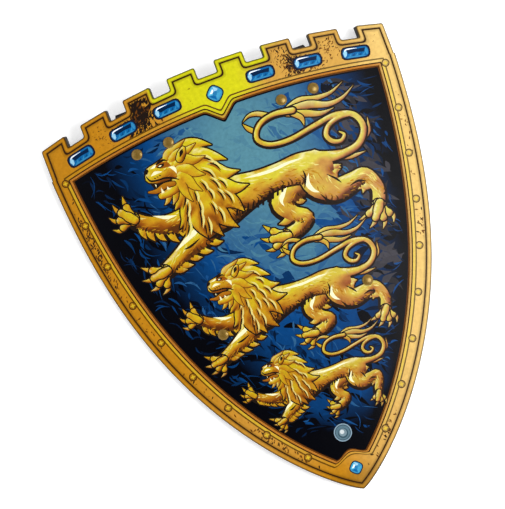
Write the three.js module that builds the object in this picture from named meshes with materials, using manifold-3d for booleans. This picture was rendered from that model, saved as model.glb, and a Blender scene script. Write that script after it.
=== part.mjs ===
import * as THREE from 'three';
import { mergeVertices } from 'three/addons/utils/BufferGeometryUtils.js';
import Module from 'manifold-3d';

// A child's heater shield of soft foam, lying on its back with the printed face up.
// Sizes are in millimetres. The sheet is drawn flat first: x runs across the face, y from the tip
// up to the crown, and z out of the face, with z = 0 on the sunk field. It is then bowed about
// its long axis, tilted as it lies and set down on the ground.

// Foam sheet
const FOAM_THICKNESS = 7.5;
const BORDER_RELIEF = 2;
const BORDER_BEVEL = 1.5;
const BOW_RADIUS = 600;
const STRIP_WIDTH = 19.6;
const STRIP_COUNT = 21;

// Sides, from the shoulders down to the tip
const TIP_Y = -250;
const SHOULDER_Y = 188;
const SIDE_WIDTH = 205.3;
const SIDE_START_Y = 300;
const SIDE_POWER = 2.843;
const SIDE_ROUNDNESS = 0.844;
const SIDE_STEPS = 24;

// Crenellated crown
const CROWN_HALF_WIDTH = 202.3;
const CROWN_PEAK_Y = 249;
const CROWN_RADIUS = 820;
const CRENEL_DEPTH = 13.5;
const MIDDLE_CRENEL = 22.4;
const MERLON_WIDTH = 33.2;
const MERLON_PITCH = 53.6;
const MERLONS_PER_SIDE = 4;
const CROWN_CORNER = 2.5;
const CORNER_STEPS = 2;

// Sunk field inside the border
const BORDER_WIDTH = 22.5;
const BORDER_SWELL = 3;
const FIELD_CORNER_Y = 179;
const FIELD_FOOT_Y = -228;
const FIELD_PEAK_Y = 198.7;
const FIELD_ARCH_RADIUS = 885;
const FIELD_STEPS = 22;
const ARCH_STEPS = 9;
const PENDANT_HALF_WIDTH = 17;
const PENDANT_TIP_Y = 183.5;
const TIP_DOME_HEIGHT = 7;
const TIP_DOME_STEPS = 8;

// Rivets
const RIVET_HEAD_RADIUS = 6.2;
const RIVET_HEAD_HEIGHT = 3;
const RIVET_RIM = 0.6;
const RIVET_SHANK_RADIUS = 2.4;
const RIVET_CAP_RADIUS = 5.6;
const RIVET_CAP_HEIGHT = 1.8;
const RIVET_SIDES = 16;
const DOME_STEPS = 4;
const RIVET_HOLE_LENGTH = 60;
const CLEARANCE = 0.3;

// Arm straps behind the shield
const STRAP_X = 85;
const STRAP_THICKNESS = 3;
const STRAP_STANDOFF = 1.1;
const STRAP_TOP_Y = 231.5;
const STRAP_FOOT_Y = -53;
const STRAP_PAD_Y = 160;
const STRAP_TOP_WIDTH = 58;
const STRAP_FOOT_WIDTH = 30;
const STRAP_BOW = 12;
const STRAP_BOW_FROM_Y = -22;
const STRAP_BOW_TO_Y = 164;
const STRAP_STEPS = 20;
const STRAP_CORNER_STEPS = 4;
const STRAP_BAND_WIDTH = 103;
const STRAP_PLAN_DEPTH = 232;
const UPPER_RIVET_Y = 182;
const UPPER_RIVET_SPREAD = 18.7;
const LOWER_RIVET_Y = -37;

// Resting place
const LYING_TILT = THREE.MathUtils.degToRad(4);
const FLAT_SPOT = 0.5;
const GROUND_WIDTH = 820;
const GROUND_DEPTH = 200;

// Drawing steps
const SAME_POINT = 1e-4;
const SLOPE_STEP = 1;

// Finishes
const printedFoam = new THREE.MeshStandardMaterial({ color: 0xc48c28, roughness: 0.45, metalness: 0 });
const brassRivet = new THREE.MeshStandardMaterial({ color: 0xb08a4a, roughness: 0.4, metalness: 0.3 });
const darkFoam = new THREE.MeshStandardMaterial({ color: 0x17161a, roughness: 0.8, metalness: 0 });

const wasm = await Module();
wasm.setup();

function solidFrom(geometry) {
  geometry.deleteAttribute('normal');
  geometry.deleteAttribute('uv');
  const merged = mergeVertices(geometry, SAME_POINT);
  const vertProperties = new Float32Array(merged.attributes.position.array);
  const triVerts = new Uint32Array(merged.index.array);
  return new wasm.Manifold(new wasm.Mesh({ numProp: 3, vertProperties, triVerts }));
}

function geometryFrom(solid) {
  const mesh = solid.getMesh();
  const geometry = new THREE.BufferGeometry();
  geometry.setAttribute('position', new THREE.BufferAttribute(new Float32Array(mesh.vertProperties), 3));
  geometry.setIndex(new THREE.BufferAttribute(new Uint32Array(mesh.triVerts), 1));
  geometry.computeVertexNormals();
  return geometry;
}

function meshOf(name, geometry, material) {
  const mesh = new THREE.Mesh(geometry, material);
  mesh.name = name;
  return mesh;
}

// Bowed sheet: the angle at x, and the place of a flat point once the sheet is bowed.
function bowAngle(x) {
  return Math.asin(x / BOW_RADIUS);
}

function bowed(x, y, z) {
  const radius = BOW_RADIUS + z;
  return new THREE.Vector3((radius * x) / BOW_RADIUS, y, radius * Math.cos(bowAngle(x)) - BOW_RADIUS);
}

// Outline of the sheet
function halfWidth(y) {
  const drop = (SIDE_START_Y - y) / (SIDE_START_Y - TIP_Y);
  return SIDE_WIDTH * Math.pow(Math.max(0, 1 - Math.pow(drop, SIDE_POWER)), SIDE_ROUNDNESS);
}

function arch(x, peakY, radius) {
  return peakY - radius + Math.sqrt(radius * radius - x * x);
}

function merlonTop(x) {
  return arch(x, CROWN_PEAK_Y, CROWN_RADIUS);
}

function crenelFloor(x) {
  return arch(x, CROWN_PEAK_Y - CRENEL_DEPTH, CROWN_RADIUS - CRENEL_DEPTH);
}

function mirrored(rightHalf) {
  const leftHalf = rightHalf.map((corner) => ({ ...corner, x: -corner.x })).reverse();
  return [...rightHalf, ...leftHalf].filter((corner, i, all) => {
    const next = all[(i + 1) % all.length];
    return Math.hypot(corner.x - next.x, corner.y - next.y) > SAME_POINT;
  });
}

function roundedShape(corners) {
  const shape = new THREE.Shape();
  corners.forEach((corner, i) => {
    const here = new THREE.Vector2(corner.x, corner.y);
    const before = corners[(i + corners.length - 1) % corners.length];
    const after = corners[(i + 1) % corners.length];
    const radius = corner.radius ?? 0;
    const inward = new THREE.Vector2(before.x, before.y).sub(here).setLength(radius).add(here);
    const outward = new THREE.Vector2(after.x, after.y).sub(here).setLength(radius).add(here);
    if (i === 0) shape.moveTo(inward.x, inward.y);
    else shape.lineTo(inward.x, inward.y);
    if (radius > 0) shape.quadraticCurveTo(here.x, here.y, outward.x, outward.y);
  });
  return shape;
}

function shieldOutline() {
  const corners = [];
  for (let step = 0; step <= SIDE_STEPS; step += 1) {
    const y = TIP_Y + ((SHOULDER_Y - TIP_Y) * step) / SIDE_STEPS;
    corners.push({ x: halfWidth(y), y });
  }
  corners.push({ x: CROWN_HALF_WIDTH, y: SHOULDER_Y });
  for (let merlon = MERLONS_PER_SIDE - 1; merlon >= 0; merlon -= 1) {
    const inner = MIDDLE_CRENEL / 2 + merlon * MERLON_PITCH;
    const outer = Math.min(inner + MERLON_WIDTH, CROWN_HALF_WIDTH);
    if (outer < CROWN_HALF_WIDTH) corners.push({ x: outer, y: crenelFloor(outer), radius: CROWN_CORNER });
    corners.push({ x: outer, y: merlonTop(outer), radius: CROWN_CORNER });
    corners.push({ x: inner, y: merlonTop(inner), radius: CROWN_CORNER });
    corners.push({ x: inner, y: crenelFloor(inner), radius: CROWN_CORNER });
  }
  return roundedShape(mirrored(corners));
}

// Outline of the sunk field: the side curve set in by the border's width, an arched top with a
// pendant point in the middle, and a low dome over the tip.
function fieldSide(step) {
  const along = step / FIELD_STEPS;
  const y = FIELD_FOOT_Y + (FIELD_CORNER_Y - FIELD_FOOT_Y) * along;
  const slope = (halfWidth(y + SLOPE_STEP / 2) - halfWidth(y - SLOPE_STEP / 2)) / SLOPE_STEP;
  const width = (BORDER_WIDTH + BORDER_SWELL * Math.sin(Math.PI * along)) / Math.hypot(1, slope);
  return { x: halfWidth(y) - width, y: y + width * slope };
}

function fieldOutline() {
  const corners = [];
  const foot = fieldSide(0);
  for (let step = 0; step < TIP_DOME_STEPS; step += 1) {
    const x = (foot.x * step) / TIP_DOME_STEPS;
    const rise = Math.cos((Math.PI * x) / (2 * foot.x));
    corners.push({ x, y: foot.y + TIP_DOME_HEIGHT * rise * rise });
  }
  for (let step = 0; step <= FIELD_STEPS; step += 1) corners.push(fieldSide(step));
  const corner = fieldSide(FIELD_STEPS);
  for (let step = 1; step <= ARCH_STEPS; step += 1) {
    const x = corner.x + ((PENDANT_HALF_WIDTH - corner.x) * step) / ARCH_STEPS;
    corners.push({ x, y: arch(x, FIELD_PEAK_Y, FIELD_ARCH_RADIUS) });
  }
  corners.push({ x: 0, y: PENDANT_TIP_Y });
  return roundedShape(mirrored(corners));
}

function flatSheet() {
  const sheet = new THREE.ExtrudeGeometry(shieldOutline(), {
    depth: FOAM_THICKNESS + BORDER_RELIEF,
    bevelEnabled: false,
    curveSegments: CORNER_STEPS,
  });
  sheet.translate(0, 0, -FOAM_THICKNESS);
  const recess = new THREE.ExtrudeGeometry(fieldOutline(), {
    depth: BORDER_RELIEF,
    bevelThickness: BORDER_RELIEF,
    bevelSize: BORDER_BEVEL,
    bevelSegments: 1,
  });
  recess.translate(0, 0, BORDER_RELIEF);
  return solidFrom(sheet).subtract(solidFrom(recess));
}

// Every face of the flat sheet is cut along the edges of upright strips, so that the wide faces can
// follow the bow, and each corner then goes to its bowed place.
function clipped(polygon, limit, keepsAbove) {
  const kept = [];
  polygon.forEach((here, i) => {
    const next = polygon[(i + 1) % polygon.length];
    const hereIn = keepsAbove ? here.x >= limit : here.x <= limit;
    const nextIn = keepsAbove ? next.x >= limit : next.x <= limit;
    if (hereIn) kept.push(here);
    if (hereIn !== nextIn) kept.push(here.clone().lerp(next, (limit - here.x) / (next.x - here.x)));
  });
  return kept;
}

function bowedSheet() {
  const flat = geometryFrom(flatSheet()).toNonIndexed().attributes.position;
  const corners = [];
  for (let i = 0; i < flat.count; i += 3) {
    const triangle = [0, 1, 2].map((corner) => new THREE.Vector3().fromBufferAttribute(flat, i + corner));
    for (let strip = 0; strip < STRIP_COUNT; strip += 1) {
      const start = (strip - STRIP_COUNT / 2) * STRIP_WIDTH;
      const piece = clipped(clipped(triangle, start, true), start + STRIP_WIDTH, false);
      for (let fan = 1; fan + 1 < piece.length; fan += 1) corners.push(piece[0], piece[fan], piece[fan + 1]);
    }
  }
  const places = corners.map((corner) => bowed(corner.x, corner.y, corner.z));
  return solidFrom(new THREE.BufferGeometry().setFromPoints(places));
}

// Rivets: a domed head on the face, a shank through the foam and the strap, and a cap behind.
const rivetPlaces = [['left', -1], ['right', 1]].flatMap(([side, sign]) => {
  const middle = sign * STRAP_X;
  const spread = sign * UPPER_RIVET_SPREAD;
  return [
    { name: `rivet_upper_${side}_outer`, x: middle + spread, y: UPPER_RIVET_Y },
    { name: `rivet_upper_${side}_inner`, x: middle - spread, y: UPPER_RIVET_Y },
    { name: `rivet_lower_${side}`, x: middle, y: LOWER_RIVET_Y },
  ];
});

function rivetGeometry() {
  const capTop = -(FOAM_THICKNESS + STRAP_STANDOFF + STRAP_THICKNESS + 2 * CLEARANCE);
  const profile = [new THREE.Vector2(0, capTop - RIVET_CAP_HEIGHT)];
  profile.push(new THREE.Vector2(RIVET_CAP_RADIUS - RIVET_RIM, capTop - RIVET_CAP_HEIGHT));
  profile.push(new THREE.Vector2(RIVET_CAP_RADIUS, capTop - RIVET_CAP_HEIGHT / 2));
  profile.push(new THREE.Vector2(RIVET_CAP_RADIUS, capTop));
  profile.push(new THREE.Vector2(RIVET_SHANK_RADIUS, capTop));
  profile.push(new THREE.Vector2(RIVET_SHANK_RADIUS, CLEARANCE));
  profile.push(new THREE.Vector2(RIVET_HEAD_RADIUS, CLEARANCE));
  for (let step = 0; step < DOME_STEPS; step += 1) {
    const angle = (Math.PI / 2) * (step / DOME_STEPS);
    const height = RIVET_RIM + (RIVET_HEAD_HEIGHT - RIVET_RIM) * Math.sin(angle);
    profile.push(new THREE.Vector2(RIVET_HEAD_RADIUS * Math.cos(angle), CLEARANCE + height));
  }
  profile.push(new THREE.Vector2(0, CLEARANCE + RIVET_HEAD_HEIGHT));
  return new THREE.LatheGeometry(profile, RIVET_SIDES).rotateX(Math.PI / 2);
}

function rivetHole(place) {
  const radius = RIVET_SHANK_RADIUS + CLEARANCE;
  const hole = new THREE.CylinderGeometry(radius, radius, RIVET_HOLE_LENGTH, RIVET_SIDES);
  hole.rotateX(Math.PI / 2).rotateY(bowAngle(place.x));
  const centre = bowed(place.x, place.y, 0);
  return hole.translate(centre.x, centre.y, centre.z);
}

function rivetMesh(place) {
  const mesh = meshOf(place.name, rivetGeometry(), brassRivet);
  mesh.position.copy(bowed(place.x, place.y, 0));
  mesh.rotation.y = bowAngle(place.x);
  return mesh;
}

// Arm strap: a flat band that tapers to its foot and stands off the back in the middle. It is made
// in a frame on the back of the sheet at STRAP_X, turned to the slope of the sheet there.
function strapFrame(sign) {
  const turn = new THREE.Matrix4().makeRotationY(bowAngle(sign * STRAP_X));
  const place = bowed(sign * STRAP_X, 0, -FOAM_THICKNESS);
  return new THREE.Matrix4().makeTranslation(place.x, place.y, place.z).multiply(turn);
}

function strapDepth(y) {
  const along = (y - STRAP_BOW_FROM_Y) / (STRAP_BOW_TO_Y - STRAP_BOW_FROM_Y);
  const swell = along > 0 && along < 1 ? Math.sin(Math.PI * along) ** 2 : 0;
  return STRAP_STANDOFF + STRAP_BOW * swell;
}

function strapBand() {
  const near = [];
  const far = [];
  for (let step = 0; step <= STRAP_STEPS; step += 1) {
    const y = STRAP_FOOT_Y + ((STRAP_TOP_Y - STRAP_FOOT_Y) * step) / STRAP_STEPS;
    near.push(new THREE.Vector2(y, -strapDepth(y)));
    far.unshift(new THREE.Vector2(y, -strapDepth(y) - STRAP_THICKNESS));
  }
  const band = new THREE.ExtrudeGeometry(new THREE.Shape([...near, ...far]), {
    depth: STRAP_BAND_WIDTH,
    bevelEnabled: false,
  });
  band.translate(0, 0, -STRAP_BAND_WIDTH / 2);
  return band.applyMatrix4(new THREE.Matrix4().makeBasis(
    new THREE.Vector3(0, 1, 0),
    new THREE.Vector3(0, 0, 1),
    new THREE.Vector3(1, 0, 0),
  ));
}

function strapPlan() {
  const foot = STRAP_FOOT_WIDTH / 2;
  const top = STRAP_TOP_WIDTH / 2;
  const plan = new THREE.ExtrudeGeometry(roundedShape([
    { x: -foot, y: STRAP_FOOT_Y, radius: foot },
    { x: foot, y: STRAP_FOOT_Y, radius: foot },
    { x: top, y: STRAP_PAD_Y, radius: top },
    { x: top, y: STRAP_TOP_Y, radius: CROWN_CORNER },
    { x: -top, y: STRAP_TOP_Y, radius: CROWN_CORNER },
    { x: -top, y: STRAP_PAD_Y, radius: top },
  ]), { depth: STRAP_PLAN_DEPTH, bevelEnabled: false, curveSegments: STRAP_CORNER_STEPS });
  return plan.translate(0, 0, -STRAP_PLAN_DEPTH / 2);
}

function strapMesh(side, sign) {
  let strap = solidFrom(strapBand()).intersect(solidFrom(strapPlan()));
  const toStrap = strapFrame(sign).invert();
  for (const place of rivetPlaces.filter((rivet) => Math.sign(rivet.x) === sign)) {
    strap = strap.subtract(solidFrom(rivetHole(place).applyMatrix4(toStrap)));
  }
  const mesh = meshOf(`arm_strap_${side}`, geometryFrom(strap), darkFoam);
  strapFrame(sign).decompose(mesh.position, mesh.quaternion, mesh.scale);
  return mesh;
}

// The whole shield, tilted as it lies, with a small flat where each side edge meets the ground.
function restLift(sheet) {
  const lying = geometryFrom(sheet).rotateX(LYING_TILT);
  lying.computeBoundingBox();
  return -lying.boundingBox.min.z - FLAT_SPOT;
}

function groundBelow(lift) {
  const ground = new THREE.BoxGeometry(GROUND_WIDTH, GROUND_WIDTH, GROUND_DEPTH);
  return ground.translate(0, 0, -GROUND_DEPTH / 2 - lift).rotateX(-LYING_TILT);
}

function buildShield() {
  let sheet = bowedSheet();
  for (const place of rivetPlaces) sheet = sheet.subtract(solidFrom(rivetHole(place)));
  const lift = restLift(sheet);
  sheet = sheet.subtract(solidFrom(groundBelow(lift)));

  const shield = new THREE.Group();
  shield.add(meshOf('shield_body', geometryFrom(sheet), printedFoam));
  for (const place of rivetPlaces) shield.add(rivetMesh(place));
  shield.add(strapMesh('left', -1));
  shield.add(strapMesh('right', 1));
  shield.rotation.x = LYING_TILT;
  shield.position.z = lift;

  const object = new THREE.Group();
  object.add(shield);
  const box = new THREE.Box3().setFromObject(object, true);
  shield.position.y = -(box.min.y + box.max.y) / 2;
  return object;
}

export default buildShield();
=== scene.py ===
import math
import random
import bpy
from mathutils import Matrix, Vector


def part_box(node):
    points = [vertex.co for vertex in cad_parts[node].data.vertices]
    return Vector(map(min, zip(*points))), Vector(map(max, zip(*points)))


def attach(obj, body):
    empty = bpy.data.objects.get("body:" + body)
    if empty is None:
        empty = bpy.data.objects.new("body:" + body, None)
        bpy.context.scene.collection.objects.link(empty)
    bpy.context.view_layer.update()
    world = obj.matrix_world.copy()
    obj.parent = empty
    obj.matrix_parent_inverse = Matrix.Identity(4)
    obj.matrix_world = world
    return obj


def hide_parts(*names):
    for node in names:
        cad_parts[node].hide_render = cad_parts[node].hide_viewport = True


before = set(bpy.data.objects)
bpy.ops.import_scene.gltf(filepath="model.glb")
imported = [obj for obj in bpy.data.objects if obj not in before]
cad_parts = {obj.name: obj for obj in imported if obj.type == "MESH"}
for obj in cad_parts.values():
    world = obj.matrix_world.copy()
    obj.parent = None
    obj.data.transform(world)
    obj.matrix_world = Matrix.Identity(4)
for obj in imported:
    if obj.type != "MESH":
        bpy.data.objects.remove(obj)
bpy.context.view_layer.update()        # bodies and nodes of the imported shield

from types import SimpleNamespace

import bpy
import numpy as np
from mathutils import Matrix, Vector
from mathutils.geometry import delaunay_2d_cdt

bl_info = {
    "name": "Foam heater shield",
    "version": (1, 0, 0),
    "blender": (4, 5, 0),
    "location": "View3D > Sidebar > Shield",
    "description": "Builds a bowed foam play shield with a printed face, rivets and arm straps",
    "category": "Add Mesh",
}

MM = 0.001
ROOT = "root"
BODY_NODE = "shield_body"
RIVET_NODES = [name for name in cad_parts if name.startswith("rivet_")]
STRAP_NODES = {-1: "arm_strap_left", 1: "arm_strap_right"}
SHARP_ANGLE = math.radians(38)
STRAP_SOFTNESS = 0.8
STRAP_CORNER = 3.0


# Properties that a user would change

def length(label, words, millimetres):
    return bpy.props.FloatProperty(name=label, description=words, default=millimetres * MM,
                                   unit="LENGTH", precision=4)


def number(label, words, value):
    return bpy.props.FloatProperty(name=label, description=words, default=value)


def angle(label, words, degrees):
    return bpy.props.FloatProperty(name=label, description=words, default=math.radians(degrees),
                                   subtype="ANGLE", unit="ROTATION")


def colour(label, words, value):
    return bpy.props.FloatVectorProperty(name=label, description=words, default=value, size=3,
                                         subtype="COLOR", min=0.0, max=1.0)


class ShieldSizes(bpy.types.PropertyGroup):
    foam_thickness: length("Foam thickness", "Foam behind the sunk field", 7.5)
    border_relief: length("Border relief", "Height of the border above the field", 2.0)
    border_bevel: length("Border bevel", "Width of the slope between border and field", 1.5)
    edge_round: length("Edge rounding", "Softening of the cut edges", 0.8)
    bow_radius: length("Bow radius", "Radius of the bowed field", 600.0)
    lying_tilt: angle("Lying tilt", "Lean of the shield as it lies", 4.0)
    tip_y: length("Tip", "Height of the tip on the flat sheet", -250.0)
    shoulder_y: length("Shoulder", "Where the side band meets the crown", 188.0)
    side_width: length("Side width", "Half width that the side curve starts from", 205.3)
    side_start_y: length("Side start", "Height that the side curve starts from", 300.0)
    side_power: number("Side power", "How late the sides turn in", 2.843)
    side_roundness: number("Side roundness", "How blunt the tip is", 0.844)
    crown_half_width: length("Crown half width", "Half width of the crown", 202.3)
    crown_peak_y: length("Crown peak", "Height of the crown's arch", 249.0)
    crown_radius: length("Crown radius", "Radius of the crown's arch", 820.0)
    crown_corner: length("Crown corner", "Rounding of the merlons", 2.5)
    crenel_depth: length("Crenel depth", "Depth of the gaps in the crown", 13.5)
    middle_crenel: length("Middle crenel", "Width of the middle gap", 22.4)
    merlon_width: length("Merlon width", "Width of a merlon", 33.2)
    merlon_pitch: length("Merlon pitch", "Distance from one merlon to the next", 53.6)
    border_width: length("Border width", "Width of the border at its ends", 22.5)
    border_swell: length("Border swell", "Extra border width halfway down", 3.0)
    field_corner_y: length("Field corner", "Where the side of the field starts", 179.0)
    field_foot_y: length("Field foot", "Where the side of the field ends", -228.0)
    field_peak_y: length("Field peak", "Height of the field's arched top", 198.7)
    field_arch_radius: length("Field arch", "Radius of the field's arched top", 885.0)
    pendant_half_width: length("Pendant width", "Half width of the point over the field", 17.0)
    pendant_tip_y: length("Pendant tip", "Lowest point of the pendant", 183.5)
    tip_dome_height: length("Tip dome", "Rise of the dome over the tip", 7.0)
    rivet_head_radius: length("Rivet radius", "Radius of a rivet head", 6.2)
    rivet_head_height: length("Rivet height", "Height of a rivet head", 3.0)
    rivet_cap_radius: length("Rivet cap", "Radius of the cap behind", 5.6)
    rivet_cap_height: length("Rivet cap height", "Height of the cap behind", 1.8)
    rivet_shank_radius: length("Rivet shank", "Radius of the shank", 2.4)
    rivet_clearance: length("Clearance", "Gap round a rivet", 0.3)
    upper_rivet_y: length("Upper rivets", "Height of the upper rivets", 182.0)
    lower_rivet_y: length("Lower rivets", "Height of the lower rivets", -37.0)
    rivet_spread: length("Rivet spread", "Upper rivets' distance from the strap's middle", 18.7)
    strap_x: length("Strap place", "Distance of a strap from the middle", 85.0)
    strap_thickness: length("Strap thickness", "Thickness of a strap", 3.0)
    strap_standoff: length("Strap gap", "Gap between strap and foam", 1.1)
    strap_top_y: length("Strap top", "Upper end of a strap", 231.5)
    strap_foot_y: length("Strap foot", "Lower end of a strap", -53.0)
    strap_pad_y: length("Strap pad", "Where a strap starts to narrow", 160.0)
    strap_top_width: length("Strap top width", "Width of a strap's upper end", 58.0)
    strap_foot_width: length("Strap foot width", "Width of a strap's lower end", 30.0)
    strap_bow: length("Strap bow", "How far a strap stands off the back", 12.0)
    strap_bow_from_y: length("Strap bow start", "Lower end of the loop", -22.0)
    strap_bow_to_y: length("Strap bow end", "Upper end of the loop", 164.0)


class ShieldColours(bpy.types.PropertyGroup):
    ink: colour("Ink", "Outlines and hatching", (0.012, 0.007, 0.005))
    # The border gold runs from orange on the left to pale on the right partly in the print and partly
    # as painted light: painted shade on the left, painted sheen on the right and on the crest
    gold_left: colour("Left gold", "Border on the left", (0.425, 0.180, 0.007))
    gold_right: colour("Right gold", "Border on the right", (0.63, 0.418, 0.130))
    gold_crest: colour("Crest gold", "Crown on the right", (0.51, 0.285, 0.056))
    gold_middle: colour("Middle gold", "Crown at its middle", (0.52, 0.50, 0.008))
    gold_shadow: colour("Gold shadow", "Brown marks on the border", (0.115, 0.036, 0.004))
    border_ink: colour("Border ink", "Lines of the border", (0.030, 0.011, 0.003))
    stripe: colour("Stripe", "Light stripe beside the field", (0.60, 0.44, 0.02))
    tan: colour("Tan", "Inner edge of the border", (0.40, 0.150, 0.018))
    field_light: colour("Field light", "Middle of the field", (0.074, 0.204, 0.262))
    field_blue: colour("Field blue", "Between middle and edge", (0.002, 0.047, 0.175))
    field_dark: colour("Field dark", "Edge of the field", (0.0008, 0.0009, 0.0022))
    # Grey of the painted sheen on the dark right side of the field
    field_painted_sheen: colour("Field charcoal", "Grey blotches on the right", (0.036, 0.034, 0.042))
    lion_shade: colour("Lion shade", "Lower sides of the figures", (0.27, 0.082, 0.005))
    lion_gold: colour("Lion gold", "Main tone of the figures", (0.47, 0.245, 0.010))
    lion_light: colour("Lion light", "Lit sides of the figures", (0.545, 0.465, 0.012))
    lion_glow: colour("Lion glow", "Bright marks on the figures", (0.80, 0.77, 0.48))
    gem_deep: colour("Gem deep", "Dark facets", (0.001, 0.013, 0.048))
    gem_blue: colour("Gem blue", "Middle facets", (0.003, 0.105, 0.30))
    gem_pale: colour("Gem pale", "Pale facets", (0.075, 0.40, 0.60))
    gem_white: colour("Gem white", "Glints", (0.84, 0.88, 0.92))
    foam: colour("Foam", "Foam core, back and straps", (0.012, 0.010, 0.010))
    rivet: colour("Rivet", "Rivet heads and caps", (0.145, 0.082, 0.012))
    floor: colour("Floor", "Ground under the shield", (0.90, 0.90, 0.90))


def in_millimetres(group):
    """Plain values of a property group, with its lengths in millimetres."""
    values = {}
    for name, prop in group.bl_rna.properties.items():
        if prop.type == "FLOAT":
            value = getattr(group, name)
            if prop.is_array:
                value = tuple(value)
            elif prop.unit == "LENGTH":
                value /= MM
            values[name] = value
    return SimpleNamespace(**values)


# Outlines of the flat sheet, in millimetres: x across, y from the tip up to the crown

def half_width(size, y):
    """Half width of the sheet at a height."""
    drop = (size.side_start_y - y) / (size.side_start_y - size.tip_y)
    return size.side_width * np.maximum(0.0, 1 - drop ** size.side_power) ** size.side_roundness


def side_point(size, y, inset):
    """Point of the right side, set in square to it."""
    slope = half_width(size, y + 0.5) - half_width(size, y - 0.5)
    step = inset / math.hypot(1, slope)
    return half_width(size, y) - step, y + step * slope


def arch(x, peak, radius):
    """Height of a shallow arch."""
    return peak - radius + math.sqrt(radius * radius - x * x)


def rounded(corners, steps=5):
    """Closed outline through (x, y, radius) corners."""
    points = []
    for i, (x, y, radius) in enumerate(corners):
        here = np.array((x, y))
        if radius <= 0:
            points.append(here)
            continue
        ends = []
        for other in (corners[i - 1], corners[(i + 1) % len(corners)]):
            away = np.array(other[:2]) - here
            span = np.linalg.norm(away)
            ends.append(here + away / span * min(radius, 0.48 * span))
        for step in range(steps + 1):
            t = step / steps
            points.append((1 - t) ** 2 * ends[0] + 2 * t * (1 - t) * here + t * t * ends[1])
    return np.array(points)


def mirrored(right_half):
    """Whole outline from its right half, which runs from the bottom middle to the top middle."""
    left_half = [(-x, y, r) for x, y, r in reversed(right_half) if abs(x) > 1e-6]
    return rounded(right_half + left_half)


def shield_outline(size, inset=0.0, side_inset=None, steps=80):
    side_inset = inset if side_inset is None else side_inset
    right = []
    before = None
    for step in range(steps + 1):
        y = size.tip_y + (size.shoulder_y - size.tip_y) * (step / steps) ** 1.25
        x, y = side_point(size, y, side_inset)
        if x > 1e-6:
            if before and not right:
                t = before[0] / (before[0] - x)
                right.append((0.0, before[1] + (y - before[1]) * t, 0.0))
            right.append((x, y, 0.0))
        before = (x, y)
    if right[0][0] > 0:
        right.insert(0, (0.0, size.tip_y, 0.0))
    crown_x = size.crown_half_width - inset
    right.append((crown_x, right[-1][1], 0.0))
    merlons = []
    start = size.middle_crenel / 2
    while start < size.crown_half_width:
        merlons.append((start + inset, min(start + size.merlon_width, size.crown_half_width) - inset))
        start += size.merlon_pitch
    top = (size.crown_peak_y - inset, size.crown_radius - inset)
    floor = (top[0] - size.crenel_depth, top[1] - size.crenel_depth)
    crest = max(size.crown_corner - 0.5 * inset, 0.8)
    root = size.crown_corner + 0.5 * inset
    for inner, outer in reversed(merlons):
        if outer < crown_x - 1e-6:
            right.append((outer, arch(outer, *floor), root))
        right.append((outer, arch(outer, *top), crest))
        right.append((inner, arch(inner, *top), crest))
        right.append((inner, arch(inner, *floor), root))
    return mirrored(right)


def border_width(size, along):
    """Width of the side band, which swells halfway down."""
    return size.border_width + size.border_swell * math.sin(math.pi * along)


def field_outline(size, grow=0.0, steps=60):
    """Outline of the sunk field, grown outwards over the border."""
    def side(along):
        y = size.field_foot_y + (size.field_corner_y - size.field_foot_y) * along
        return side_point(size, y, border_width(size, along) - grow)

    foot_x, foot_y = side(0.0)
    right = []
    dome_steps = 10
    for step in range(dome_steps):
        x = foot_x * step / dome_steps
        rise = math.cos(math.pi * x / (2 * foot_x)) ** 2
        right.append((x, foot_y + size.tip_dome_height * rise, 0.0))
    for step in range(steps + 1):
        right.append((*side(step / steps), 0.0))
    corner_x = right[-1][0]
    peak, radius = size.field_peak_y + grow, size.field_arch_radius + grow
    right.append((corner_x, arch(corner_x, peak, radius), 0.0))
    slope = (arch(size.pendant_half_width, size.field_peak_y, size.field_arch_radius)
             - size.pendant_tip_y) / size.pendant_half_width
    drop = size.pendant_tip_y + grow * math.hypot(1, slope)
    shoulder = size.pendant_half_width - grow * (math.hypot(1, slope) - 1) / slope
    arch_steps = 26
    for step in range(1, arch_steps):
        x = corner_x + (shoulder - corner_x) * step / arch_steps
        right.append((x, arch(x, peak, radius), 0.0))
    right.append((shoulder, arch(shoulder, peak, radius), 4.0))
    right.append((0.0, drop, 3.0))
    return mirrored(right)


# Drawing: curves with a width, ribbons round them, and the list of painted shapes

LIGHT_FROM = np.array((-0.42, 0.91))
# Painted light on the figures: paler towards the right, where the key light falls, and more orange
# towards the left as painted shade
RIGHT_PAINTED_LIGHT = np.array((-0.04, -0.02, 0.13))
PAINTED_LIGHT_FROM_TO = (-20.0, 140.0)
LEFT_PAINTED_SHADE = np.array((0.04, 0.20, 0.10))
PAINTED_SHADE_FROM_TO = (-25.0, -125.0)
RIPPLE = 0.24
SHADOW_SHIFT = np.array((-0.34, -0.47))
LEAST_REACH = 0.02
LEAST_CAP = 0.4
LANE_WIDTH = 3.0


def smooth(rows, steps=5):
    """Smooth curve through rows of x, y and half width."""
    rows = [tuple(float(value) for value in row) for row in rows]
    padded = [rows[0], *rows, rows[-1]]
    curve = []
    for a, b, c, d in zip(padded, padded[1:], padded[2:], padded[3:]):
        for step in range(steps):
            t = step / steps
            curve.append([0.5 * (2 * q + (r - p) * t + (2 * p - 5 * q + 4 * r - s) * t * t
                                 + (3 * q - p - 3 * r + s) * t ** 3) for p, q, r, s in zip(a, b, c, d)])
    curve.append(list(rows[-1]))
    return np.array(curve)


def directions(centre):
    """Unit steps along a curve, and those square to them on the left."""
    run = np.gradient(centre, axis=0)
    run /= np.maximum(np.linalg.norm(run, axis=1, keepdims=True), 1e-9)
    return run, np.stack((-run[:, 1], run[:, 0]), axis=1)


def travelled_along(centre):
    """Distance along a curve to each of its points."""
    return np.concatenate(((0.0,), np.cumsum(np.linalg.norm(np.diff(centre, axis=0), axis=1))))


def heading(step):
    """Unit step, and the one square to it on the left."""
    step = step / np.linalg.norm(step)
    return step, np.array((-step[1], step[0]))


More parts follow.
